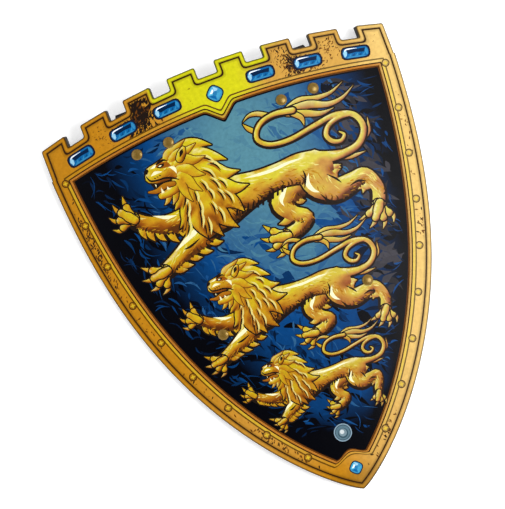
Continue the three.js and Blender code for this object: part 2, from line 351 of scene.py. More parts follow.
def ribbon(curve, grow=0.0, cap_steps=4):
    """Closed outline round a curve with a width; ends that are wide enough are rounded."""
    centre = curve[:, :2]
    run, side = directions(centre)
    reach = np.maximum(np.maximum(curve[:, 2], 0.0) + grow, LEAST_REACH)[:, None]

    def cap(end, sign):
        if reach[end, 0] < LEAST_CAP:
            return np.empty((0, 2))
        turns = np.pi * (np.arange(cap_steps) + 1) / (cap_steps + 1)
        ways = [math.cos(turn) * side[end] + math.sin(turn) * run[end] for turn in turns]
        return np.array([centre[end] + reach[end] * sign * way for way in ways])

    left, right = centre + side * reach, centre - side * reach
    return np.concatenate((left, cap(-1, 1), right[::-1], cap(0, -1)))


def share_of(value, none_at, all_at):
    """How far values have come from one place to another, from 0 to 1."""
    return np.clip((value - none_at) / (all_at - none_at), 0, 1)


def mixed(first, second, share):
    """Colour between two others."""
    share = min(1.0, max(0.0, share))
    return tuple(a + (b - a) * share for a, b in zip(first, second))


class Artwork:
    """Painted shapes, from the lowest to the highest, and points that carry their shading."""

    def __init__(self):
        self.outlines = []
        self.paints = []
        self.dots = []

    def add(self, outline, paint):
        self.outlines.append(np.asarray(outline, float))
        self.paints.append(paint)

    def dot_along(self, curve):
        """Points along a wide limb, in lanes that share its width."""
        _, side = directions(curve[:, :2])
        lanes = max(1, int(curve[:, 2].max() / LANE_WIDTH))
        for lane in range(-lanes, lanes + 1):
            self.dots.extend(curve[:, :2] + side * curve[:, 2:] * (lane / (lanes + 0.6)))


def tone_ramp(stops):
    """Colour for values along a row of (value, colour) stops."""
    places = [place for place, _ in stops]
    tones = np.array([tone for _, tone in stops])

    def at(values):
        return np.stack([np.interp(values, places, tones[:, k]) for k in range(3)], axis=1)
    return at


def rounded_paint(curves, ramp, dims=None):
    """Tone over limbs as if they were round and lit from the upper left."""
    def at(points):
        lit = np.zeros(len(points))
        weight = np.full(len(points), 1e-6)
        rows = np.arange(len(points))
        for curve, dim in zip(curves, dims or [0.0] * len(curves)):
            start, step = curve[:-1], np.diff(curve, axis=0)
            span = np.maximum((step[:, :2] ** 2).sum(axis=1), 1e-9)
            share = ((points[:, None, :] - start[None, :, :2]) * step[None, :, :2]).sum(axis=2) / span
            foot = start[None] + np.clip(share, 0, 1)[:, :, None] * step[None]
            away = (points[:, None, :] - foot[:, :, :2]) / np.maximum(foot[:, :, 2:], 0.4)
            reach = np.linalg.norm(away, axis=2)
            nearest = reach.argmin(axis=1)
            depth = np.clip(1.3 - reach[rows, nearest], 0.0, None) ** 2
            lit += depth * (away[rows, nearest] @ LIGHT_FROM - dim)
            weight += depth
        x, y = points.T
        ripple = RIPPLE * np.sin(0.17 * x + 1.3 * np.sin(0.15 * y)) * np.cos(0.21 * y)
        tone = ramp(lit / weight + ripple)
        # Painted light from the right and painted shade on the left, laid over the drawn shading
        painted_light = share_of(x[:, None], *PAINTED_LIGHT_FROM_TO) * tone.max(axis=1, keepdims=True)
        painted_shade = share_of(x[:, None], *PAINTED_SHADE_FROM_TO)
        return (tone + painted_light * RIGHT_PAINTED_LIGHT) * (1 - painted_shade * LEFT_PAINTED_SHADE)
    return at


def circle(x, y, radius, steps=16):
    """Outline of a disc."""
    turns = 2 * np.pi * np.arange(steps) / steps
    return np.stack((x + radius * np.cos(turns), y + radius * np.sin(turns)), axis=1)


def turned(points, x, y, degrees):
    """Points turned about the origin and moved to a place."""
    a = math.radians(degrees)
    turn = np.array(((math.cos(a), math.sin(a)), (-math.sin(a), math.cos(a))))
    return np.asarray(points, float) @ turn + (x, y)


# Border, gems and studs

TIP_SHADE = 0.28
YELLOW_CROWN = (68.0, 4.0)
YELLOW_BAND = (46.0, 24.0)

# Steps of the moulding from the cut edge inwards: inset on the crown, inset on the sides, shade
# of the gold (none for ink), and how far the crown's yellow middle reaches and fades
# The first, dark step is painted shade along the rounded cut edge
MOULDING = ((0.0, 0.0, 0.16, *YELLOW_CROWN), (1.1, 1.1, 0.70, *YELLOW_CROWN),
            (1.8, 1.8, 1.0, *YELLOW_CROWN), (3.8, 4.3, 0.66, *YELLOW_CROWN),
            (4.7, 5.4, None, 0.0, 0.0), (6.5, 7.1, 0.66, *YELLOW_BAND),
            (7.4, 8.0, 0.86, *YELLOW_BAND), (8.9, 9.2, 1.03, *YELLOW_BAND))

# Patches of flecks on the crown: count, x, y, reach in x, reach in y, longest, lean, share in ink
CROWN_PATCHES = ((130, -88, 227, 6.0, 9, 12.0, 80, 1.0), (430, -86, 221, 8.5, 12, 6.5, 70, 0.9),
                 (60, -106, 214, 6, 3, 5.0, 20, 0.8), (260, 92, 219, 5.0, 12, 5.4, 75, 0.8),
                 (180, 104, 210, 13, 6, 4.2, 20, 0.6), (120, 134, 220, 10, 10, 3.4, 30, 0.15),
                 (90, 80, 228, 8, 8, 3.0, 60, 0.2), (60, -86, 224, 30, 12, 3.0, 30, 0.0),
                 (60, -130, 214, 12, 8, 2.4, 10, 0.1), (40, 170, 212, 14, 6, 2.4, 10, 0.0))

# Scuffs on the side bands: side, y, reach in y, count, share in ink
SIDE_SCUFFS = ((-1, 108, 17, 100, 0.8), (-1, 60, 30, 36, 0.15), (-1, -180, 14, 50, 0.5),
               (-1, -205, 5, 16, 0.5), (1, -6, 9, 22, 0.35), (1, -210, 10, 34, 0.45),
               (-1, 0, 16, 14, 0.2), (1, 90, 40, 16, 0.0), (-1, -100, 30, 20, 0.2))
FLECK_ROOM = 8.0
SCUFF_INSETS = (8.2, 15.0)

STUD_INSET = 13.9
STUD_COUNT = 9
LOWEST_STUD_Y = -206
STUD_RADII = (4.6, 3.5, 2.7)
STUD_STAR = (3.2, 1.3)

GEM_ARCH = (218.6, 840.0)
GEMS_ON_A_SIDE = 3
LOZENGES = ((0.4, 214.0, 9.4), (0.0, -225.0, 7.4))


def gold_paint(paint, shade=1.0, yellow_reach=YELLOW_CROWN[0], yellow_fade=YELLOW_CROWN[1]):
    """Gold of the border: orange on the left, pale on the right, yellow in the middle of the crown; the
    turn from left to right is partly print and partly painted light, shade on the left and sheen on the
    right.
    """
    left, right, crest, middle = (np.array(tone) for tone in (paint.gold_left, paint.gold_right,
                                                              paint.gold_crest, paint.gold_middle))

    def at(points):
        x, y = points[:, :1], points[:, 1:]
        crown = share_of(y, 185, 193)
        pale = right + (crest - right) * crown * (1 - share_of(x, 150, 185))
        tone = left + (pale - left) * share_of(x, -140, 140)
        yellow = np.clip((yellow_reach - np.abs(x)) / yellow_fade + 0.5, 0, 1)
        tone = tone + (middle - tone) * crown * yellow
        tone = tone + (left - tone) * share_of(y, -150, -220) * np.clip(0.75 - x / 50, 0.2, 1)
        return tone * (1 - TIP_SHADE * share_of(y, -222, -234)) * shade
    return at


def stripe_paint(paint):
    """Lighter stripe of the moulding beside the field."""
    gold = gold_paint(paint, 1.0, 40.0, 40.0)

    def at(points):
        y = points[:, 1:]
        share = np.where(y > 183, 0.08, 0.5 * np.clip((y + 210) / 60, 0.15, 1))
        return (1 - share) * gold(points) + share * np.array(paint.stripe)
    return at


def edge_paint(paint):
    """Inner edge of the border: tan, paler down the right side, partly as painted sheen like the gold,
    and at the pendant.
    """
    gold = gold_paint(paint, 0.85, 34.0, 20.0)

    def at(points):
        x, y = points[:, :1], points[:, 1:]
        right_side = share_of(x, 0, 60) * share_of(y, 184, 178)
        pendant = share_of(np.abs(x), 28, 20) * (y > 175)
        share = 0.65 * np.clip(right_side + pendant, 0, 1)
        return np.array(paint.tan) + share * (gold(points) - np.array(paint.tan))
    return at


def draw_border(art, size, paint, rng):
    """Gold bands and ink lines from the cut edge in to the field."""
    for inset, side_inset, shade, *yellow in MOULDING:
        tone = gold_paint(paint, shade, *yellow) if shade else paint.border_ink
        art.add(shield_outline(size, inset, side_inset), tone)
    draw_wear(art, size, paint, rng)
    for grow, tone in ((8.6, gold_paint(paint, 0.24, 0.0)), (7.0, stripe_paint(paint)),
                       (4.3, paint.border_ink), (2.9, edge_paint(paint)), (0.9, paint.gold_shadow),
                       (-0.6, paint.field_dark)):
        art.add(field_outline(size, grow), tone)


def draw_wear(art, size, paint, rng):
    """Dark flecks drawn on the crown and scuffs on the side bands."""
    def fleck(x, y, span, lean, tone):
        a = math.radians(lean + rng.uniform(-50, 50))
        dx, dy = span * math.cos(a) / 2, span * math.sin(a) / 2
        middle = (x + rng.uniform(-0.6, 0.6), y + rng.uniform(-0.6, 0.6), 0.2 * span)
        art.add(ribbon(smooth([(x - dx, y - dy, 0.1), middle, (x + dx, y + dy, 0.1)], 2)), tone)

    def brown(dark):
        return paint.ink if rng.random() < dark else paint.gold_shadow

    room = shield_outline(size, FLECK_ROOM)
    for count, x, y, reach_x, reach_y, longest, lean, dark in CROWN_PATCHES:
        for _ in range(count):
            at = np.array([(rng.gauss(x, reach_x), rng.gauss(y, reach_y))])
            if inside(at, room)[0]:
                fleck(*at[0], rng.uniform(0.3, 1.0) * longest, lean, brown(dark))
    for side, y, reach, count, dark in SIDE_SCUFFS:
        for _ in range(count):
            x, at_y = side_point(size, rng.gauss(y, reach), rng.uniform(*SCUFF_INSETS))
            fleck(side * x, at_y, rng.uniform(1.0, 4.6), 90 + 25 * side, brown(dark))


def draw_studs(art, size, paint):
    """Round studs with a small star, evenly spaced down the side bands."""
    heights = np.linspace(size.field_corner_y + 1, LOWEST_STUD_Y, 200)
    path = np.array([side_point(size, y, STUD_INSET) for y in heights])
    run = travelled_along(path)
    star = [(radius * math.cos(k * math.pi / 4), radius * math.sin(k * math.pi / 4))
            for k, radius in enumerate(STUD_STAR * 4)]
    for distance in np.linspace(0, run[-1], STUD_COUNT):
        x, y = np.interp(distance, run, path[:, 0]), np.interp(distance, run, path[:, 1])
        for side in (-1, 1):
            centre = (side * x, y)
            base = gold_paint(paint)(np.array([centre]))[0]
            edge, dome, top = STUD_RADII
            art.add(circle(*centre, edge), mixed(base * 0.3, paint.border_ink, 0.7))
            art.add(circle(*centre, dome), tuple(base * 0.48))
            art.add(circle(centre[0] - 0.4, centre[1] + 0.5, top), tuple(base * 0.78))
            art.add(turned(star, *centre, 0), mixed(base, paint.stripe, 0.7))


def bar_shape(length_mm, height, corner):
    """Bar with rounded corners about the origin."""
    h, w = height / 2, length_mm / 2
    return rounded([(-w, -h, corner), (w, -h, corner), (w, h, corner), (-w, h, corner)], 3)


def draw_bar_gem(art, paint, x, y, tilt):
    """Long gem with a dark middle, pale ends and a glint."""
    bright = mixed(paint.gem_blue, paint.gem_pale, 0.35)
    dusk = mixed(paint.gem_deep, paint.gem_blue, 0.45)
    pale_end = mixed(paint.gem_pale, paint.gem_white, 0.25)
    glint = ribbon(smooth([(-12.4, 2.6, 0.2), (-10.0, 4.5, 0.7), (-4, 4.8, 0.5), (2, 4.7, 0.1)], 3))
    facets = [(bar_shape(33.4, 15.0, 6.4), mixed(paint.ink, paint.gem_deep, 0.35)),
              (bar_shape(29.2, 11.2, 5.2), paint.gem_blue),
              ([(-10.2, 3.9), (11.2, 3.9), (9.6, -0.4), (1.0, 0.4), (-8.4, -0.6)], paint.gem_deep),
              ([(-14.2, 0.6), (-11.6, 4.4), (-9.6, 1.2), (-10.4, -2.6), (-12.6, -4.2)], pale_end),
              ([(14.2, 0.6), (12.0, 4.6), (10.6, 1.4), (11.0, -2.8), (12.8, -4.2)], bright),
              ([(-10.6, -5.2), (11.0, -5.2), (9.0, -4.0), (-9.0, -3.8)], bright)]
    for k in range(5):
        left = -8.4 + 3.8 * k
        corners = [(left, -3.6), (left + 2.8, -3.6), (left + 3.8, -0.2)]
        facets.append((corners, dusk if k % 2 else bright))
    for points, tone in (*facets, (glint, paint.gem_white)):
        art.add(turned(points, x, y, tilt), tone)


def draw_lozenge_gem(art, paint, x, y, reach):
    """Lozenge of unit reach with pale upper and deep lower facets, drawn at its place and size."""
    def lozenge(r):
        return rounded([(0, -r, 0.55 * r), (r, 0, 0.55 * r), (0, r, 0.55 * r), (-r, 0, 0.55 * r)], 4)

    middle = mixed(paint.gem_blue, paint.gem_pale, 0.45)
    for points, tone in (
            (lozenge(1.34), mixed(paint.ink, paint.gem_deep, 0.5)), (lozenge(1.12), middle),
            ([(-0.9, 0), (-0.1, -0.1), (0, 0.9), (-0.5, 0.5)], paint.gem_pale),
            ([(0, 0), (0.5, 0.42), (0, 0.9)], mixed(paint.gem_pale, paint.gem_white, 0.3)),
            ([(-0.75, -0.12), (0, -0.1), (0, -0.8)], paint.gem_blue),
            ([(0.1, -0.05), (0.8, 0), (0.1, -0.8)], mixed(middle, paint.gem_pale, 0.4)),
            ([(-0.3, 0.28), (0.3, 0.28), (0.18, -0.22), (-0.22, -0.26)],
             mixed(paint.gem_blue, paint.gem_pale, 0.2)),
            ([(-0.6, 0.12), (-0.12, 0.6), (-0.05, 0.34), (-0.3, 0.08)], paint.gem_white)):
        art.add(reach * np.asarray(points) + (x, y), tone)


def draw_gems(art, size, paint):
    """Bar gems under the gaps of the crown, and a lozenge at its middle and at the tip."""
    first_x = size.middle_crenel / 2 + (size.merlon_width + size.merlon_pitch) / 2
    for k in range(GEMS_ON_A_SIDE):
        x = first_x + k * size.merlon_pitch
        for side in (-1, 1):
            tilt = -side * math.degrees(math.asin(x / GEM_ARCH[1]))
            draw_bar_gem(art, paint, side * x, arch(x, *GEM_ARCH), tilt)
    for x, y, reach in LOZENGES:
        draw_lozenge_gem(art, paint, x, y, reach)


# Field: a pale middle that darkens to the edges, in short brush dabs

FIELD_MIDDLE_X = 12.0
PALEST, BLUE, BLACK = 25.0, 95.0, 140.0

# Pale places: strength, x, y, reach in x, reach in y
FIELD_GLOWS = ((62.0, 10.0, 150.0, 62.0, 74.0), (36.0, 34.0, 26.0, 48.0, 58.0))

# Passes of dabs: count, longest, widest, and how much darker they are (0 for some of each)
FIELD_PASSES = ((170, 40, 7.0, 34.0), (440, 28, 3.0, 30.0), (900, 20, 1.8, 0.0), (460, 24, 0.8, -20.0))
DAB_ROOM = ((-176, 176), (-212, 196))
DARK_FIELD = 122

# Grey dabs of painted sheen on the right, drawn after one of the passes: count, longest, widest
SHEEN_PASS = 1
SHEEN_DABS = (150, 32, 4.4)


def field_depth(size, points):
    """How dark the field is, on the scale from PALEST through BLUE to BLACK."""
    x, y = points[:, 0], points[:, 1]
    half = np.maximum(half_width(size, np.minimum(y, size.field_corner_y)) - 20.0, 12.0)
    edge = np.clip((np.abs(x - FIELD_MIDDLE_X) / half - 0.34) / 0.56, 0, 1) ** 1.15
    upper = share_of(y, -80, 120) * (1 - edge)
    low = share_of(y, 20, -100)
    depth = 96 + 54 * edge + 10 * low + 45 * share_of(y, -150, -190) - 20 * upper
    for strength, glow_x, glow_y, reach_x, reach_y in FIELD_GLOWS:
        depth -= strength * np.exp(-((x - glow_x) / reach_x) ** 2 - ((y - glow_y) / reach_y) ** 2)
    return np.maximum(depth, PALEST - 5)


def field_ramp(paint):
    """Colours of the field by its depth."""
    middle = mixed(paint.field_light, paint.field_blue, 0.5)
    dusk = mixed(paint.field_blue, paint.field_dark, 0.6)
    return tone_ramp(((PALEST, paint.field_light), (62.0, middle), (BLUE, paint.field_blue),
                      (118.0, dusk), (BLACK, paint.field_dark)))


def draw_field(art, size, paint, rng):
    """Shaded ground of the field and passes of dabs over it."""
    ramp = field_ramp(paint)
    art.add(field_outline(size, -2.4), lambda points: ramp(field_depth(size, points)))
    inner = field_outline(size, -4.0)

    def dab(x, y, longest, widest):
        span = longest * rng.uniform(0.3, 1.0)
        width = widest * rng.uniform(0.35, 1.0)
        a = math.radians(-38 + 34 * math.sin(x / 43 + y / 57) + rng.uniform(-45, 45))
        bend = rng.uniform(-0.4, 0.4)
        dx, dy = span * math.cos(a) / 2, span * math.sin(a) / 2
        rows = [(x - dx, y - dy, rng.uniform(0.1, 0.3) * width),
                (x - 0.4 * dx - bend * dy, y - 0.4 * dy + bend * dx, width),
                (x + 0.3 * dx - bend * dy, y + 0.3 * dy + bend * dx, rng.uniform(0.4, 0.9) * width),
                (x + dx, y + dy, 0.1)]
        return ribbon(smooth(rows, 2), cap_steps=1)

    for k, (count, longest, widest, darker) in enumerate(FIELD_PASSES):
        for _ in range(count):
            x, y = (rng.uniform(*room) for room in DAB_ROOM)
            outline = dab(x, y, longest, widest)
            depth = float(field_depth(size, np.array([(x, y)]))[0])
            if darker:
                jump = darker * rng.uniform(0.2, 1.5)
            else:
                jump = rng.choice((-1, 1)) * rng.uniform(6, 30)
            jump *= 0.50 + depth / 170
            if depth > DARK_FIELD and darker <= 0:
                jump = -rng.uniform(8, 46)
            if inside(outline, inner).all():
                art.add(outline, tuple(ramp(np.array([depth + jump]))[0]))
        # Painted sheen: grey dabs on the right of the field
        if k == SHEEN_PASS:
            count, *reach = SHEEN_DABS
            for _ in range(count):
                outline = dab(rng.gauss(124, 15), rng.uniform(-70, 190), *reach)
                if inside(outline, inner).all():
                    art.add(outline, tuple(np.array(paint.field_painted_sheen) * rng.uniform(0.45, 1.25)))


BOSS_PLACE = (0.0, -184.0)
BOSS_EDGE = (10.6, 28)

# Rings of the boss, one over another: shift in x and y, radius, corners, colour
BOSS_RINGS = ((0.0, 0.0, 10.0, 28, (0.20, 0.29, 0.36)), (0.0, 0.0, 8.7, 26, (0.020, 0.045, 0.065)),
              (0.0, 0.0, 7.9, 24, (0.085, 0.150, 0.190)), (0.0, -0.6, 5.6, 20, (0.030, 0.065, 0.090)),
              (0.0, 0.0, 4.4, 18, (0.16, 0.23, 0.27)), (-0.6, 0.9, 2.4, 12, (0.55, 0.60, 0.62)))


def draw_boss(art, paint):
    """Plain round boss printed near the tip."""
    x, y = BOSS_PLACE
    art.add(circle(x, y, *BOSS_EDGE), paint.field_dark)
    for shift_x, shift_y, radius, corners, tone in BOSS_RINGS:
        art.add(circle(x + shift_x, y + shift_y, radius, corners), tone)


# Figures: a striding lion, drawn in millimetres of the largest one

PRINT_SEED = 11
LION_MIDDLE = np.array((-3.0, 103.5))
HATCH_PITCH = 4.0

# A paw's toes: turns from the way it points, then distances from the wrist with half widths
TOE_SPREADS = (58, -50, 22, -14)
TOE = ((-3.0, 3.4), (3.4, 3.9), (7.4, 2.9), (11.0, 3.1))
CLAW = ((10.0, 2.2), (15.4, 1.7))
CLAW_TIP = 6.4

# Middle, scale, tone, and how far the feet are drawn in
LIONS = (((-3, 103.5), 1.0, (1.0, 1.0, 1.0), 0.0), ((-6, -22.5), 0.76, (0.95, 0.87, 0.92), 0.0),
         ((-4, -119.5), 0.56, (0.88, 0.76, 0.80), 0.22))

# Limbs and locks as rows of x, y and half width

TORSO = [(-58, 96, 24), (-40, 99, 27), (-14, 102, 21), (12, 104, 15), (36, 105, 13.5), (58, 104, 16.5),
         (76, 99, 19)]
NEAR_FORELEG = [(-50, 92, 21), (-63, 78, 15.5), (-86, 66, 10.5), (-104, 58, 8), (-117, 52, 7.5)]
FAR_FORELEG = [(-60, 104, 17), (-82, 97, 12.5), (-104, 99, 9.8), (-120, 107, 7.8), (-130, 115, 7)]
NEAR_HIND_LEG = [(74, 98, 21), (75, 82, 18.5), (89, 69, 12.5), (109, 71, 9.5), (124, 72, 8.2),
                 (132, 55, 7), (128, 40, 7)]
FAR_HIND_LEG = [(60, 95, 17), (42, 86, 14), (27, 76, 11.5), (34, 61, 8.5), (47, 52, 7.2), (36, 44, 6.6),
                (22, 41, 6.8)]
TAIL = [(84, 106, 6), (108, 103, 4.2), (129, 107, 3.6), (141, 122, 3.2), (136, 139, 3), (117, 146, 2.8),
        (92, 143, 2.6), (62, 138, 2.4), (38, 140, 2.3), (26, 151, 2.3), (34, 165, 2.4), (53, 170, 2.6),
        (74, 167, 3.1)]
TAIL_ROOT = [(66, 104, 15), (80, 107, 9), (94, 105, 6), (109, 103, 4.2)]
TAIL_CURL = [(132, 141, 1.8), (120, 142, 2.4), (106, 138, 2.5), (99, 129, 2.5), (103, 120, 2.4),
             (112, 117, 2.1), (118, 122, 1.6), (114, 127, 0.6)]
TAIL_FLAMES = ([(66, 169, 3), (84, 174, 3.8), (102, 171, 2.6), (120, 171, 1.6), (137, 178, 0)],
               [(66, 168, 3.4), (92, 167, 4.2), (112, 160, 2.8), (130, 161, 1.7), (147, 170, 0)],
               [(66, 166, 3), (86, 159, 3.6), (102, 153, 2.4), (118, 154, 0)],
               [(72, 164, 2.6), (80, 156, 2.6), (80, 147, 0)],
               [(48, 170, 2.4), (36, 177, 2.4), (26, 178, 1.4), (18, 174, 0)],
               [(28, 158, 2.4), (21, 165, 2.2), (17, 172, 0)],
               [(134, 110, 2.4), (145, 117, 2.2), (149, 132, 0)],
               [(98, 103, 2.8), (117, 97, 2.4), (134, 97, 0)])
MANE = [(-50, 96, 17), (-49, 112, 20), (-54, 132, 19.5), (-61, 152, 15)]
MANE_FLAMES = ([(-64, 164, 9), (-50, 171, 8), (-37, 170, 5), (-23, 163, 0)],
               [(-54, 157, 11), (-38, 156, 9), (-25, 150, 5), (-13, 142, 0)],
               [(-46, 140, 13), (-30, 134, 10), (-18, 128, 5.5), (-4, 126, 0)],
               [(-44, 126, 13), (-28, 116, 10), (-14, 109, 5.5), (0, 108, 0)],
               [(-44, 114, 14), (-32, 104, 11), (-22, 95, 6.5), (-15, 82, 0)],
               [(-48, 98, 13), (-41, 87, 9.5), (-35, 77, 5), (-27, 68, 0)],
               [(-54, 98, 12), (-53, 86, 8.5), (-51, 76, 4.5), (-46, 65, 0)],
               [(-61, 102, 11), (-66, 90, 8), (-66, 80, 4.5), (-63, 69, 0)],
               [(-64, 114, 11), (-74, 104, 7.5), (-80, 95, 4), (-88, 89, 0)],
               [(-66, 126, 9), (-76, 117, 6), (-86, 110, 0)])
MANE_DIMS = (0.22, 0.0, 0.0, 0.0, 0.1, 0.25, 0.4, 0.5, 0.55, 0.5, 0.45)

# Rows of curls in the mane: reach from the face, first turn, count
MANE_CURLS = ((26, 10, 5), (38, -8, 5), (50, -26, 5), (60, -44, 4))
LAST_CURL = -106

BODY_GLOWS = ([(-4, 116, 0), (12, 114, 1.4), (30, 113, 1.7), (50, 114.5, 1.4), (66, 114, 0)],
              [(-62, 90, 0), (-72, 81, 2.6), (-88, 74, 2.2), (-102, 67, 0)],
              [(66, 96, 0), (61, 86, 2.6), (64, 77, 2.0), (70, 72, 0)],
              [(38, 90, 0), (31, 84, 2.4), (27, 78, 1.8), (28, 71, 0)],
              [(-86, 104, 0), (-98, 106, 2.0), (-112, 113, 0)])
BODY_LINES = ([(61, 102, 0.1), (61, 93, 0.9), (56, 82, 0.3)],
              [(84, 88, 0.2), (92, 80, 0.9), (96, 74, 0.3)],
              [(-66, 66, 0.3), (-54, 68, 1.1), (-38, 71, 1.1), (-24, 77, 0.3)],
              [(70, 70, 0.2), (76, 60, 1.0), (86, 56, 0.3)],
              [(-92, 66, 0.2), (-84, 66.5, 1.0), (-72, 71, 0.3)],
              [(104, 67, 0.2), (114, 69, 1.0), (122, 66, 0.3)])
RIBS = 10

MOUTH = [(-102, 149), (-80, 149), (-70, 142), (-74, 131), (-88, 126), (-96, 129)]
JAW = [(-64, 143, 10), (-76, 134, 6.6), (-86, 130, 4.8), (-94, 130, 3.6)]
BEARD = ([(-78, 129, 3.4), (-81, 122, 2.8), (-86, 116, 0)],
         [(-86, 127, 3.0), (-90, 122, 2.2), (-95, 119, 0)])
TONGUE = [(-77, 138, 2.4), (-87, 139, 3.0), (-97, 136.5, 2.5), (-106, 138.5, 1.0)]

# Fangs: x, y, and how far they point up
FANGS = ((-96, 147.5, -7), (-89, 147, -4), (-84, 147, -3.4), (-91.5, 132.5, 6.5), (-84.5, 134, 3.6))
SKULL = ([(-62, 155, 12.5), (-70, 156, 13.5), (-77, 156, 11.5)],
         [(-74, 161, 8.4), (-86, 159.5, 6.6), (-96, 159, 5.4)],
         [(-80, 153, 9.4), (-90, 152.6, 8.6), (-97.5, 153.4, 7.0)])
CHEEK = [(-60, 152, 11), (-69, 155, 12), (-80, 155, 10)]
FACE_LOCKS = ([(-78, 164, 2.6), (-72, 170, 4.6), (-62, 173, 4.2), (-49, 179, 0)],
              [(-70, 164, 3.4), (-61, 167, 5.0), (-51, 167, 3.6), (-39, 171, 0)],
              [(-66, 157, 3.6), (-56, 158, 5.6), (-46, 154, 4.0), (-34, 154, 0)],
              [(-66, 151, 3.8), (-57, 147, 5.6), (-50, 140, 4.0), (-41, 135, 0)],
              [(-67, 144, 3.8), (-61, 136, 5.2), (-57, 127, 3.6), (-50, 119, 0)],
              [(-70, 140, 3.4), (-69, 131, 4.6), (-68, 122, 3.0), (-64, 112, 0)])
EAR = [(-61, 161, 4.2), (-57, 166, 4.4), (-54, 170, 2.6)]
EAR_HOLLOW = [(-60, 163, 0.4), (-57, 167, 1.6), (-55, 169.5, 0.4)]
NOSE = [(-104.6, 158.6), (-102.8, 162.4), (-98.4, 162.8), (-98.2, 160.2), (-100.8, 157.6)]
LIP = [(-103, 156, 0.3), (-100, 149.5, 0.8), (-92, 147.5, 0.7), (-84, 147, 0.8), (-76, 144, 0.8),
       (-70, 140, 0.3)]
EYE_SHADE = [(-90, 162, 0.4), (-84, 161.6, 3.2), (-77, 160, 3.0), (-73, 156, 0.4)]
BROW = [(-89.5, 163.6, 0.3), (-85, 165.2, 0.9), (-79, 166.2, 0.9), (-75, 164, 0.2)]
EYE = [(-88.5, 160.8), (-84.5, 163.2), (-79, 162.6), (-80.6, 159.8), (-85, 159)]
EYE_GLINT = [(-86.4, 161.1), (-84.2, 162.2), (-82.2, 161.4), (-84.4, 160.2)]
FACE_GLOWS = ([(-96, 162, 0), (-91, 162.6, 1.2), (-88, 164.6, 0)],
              [(-98, 154, 0), (-92, 156, 1.8), (-84, 154.5, 0)],
              [(-76, 157, 0), (-71, 153.5, 2.0), (-70, 147, 0)])
WHISKER_DOTS = 3


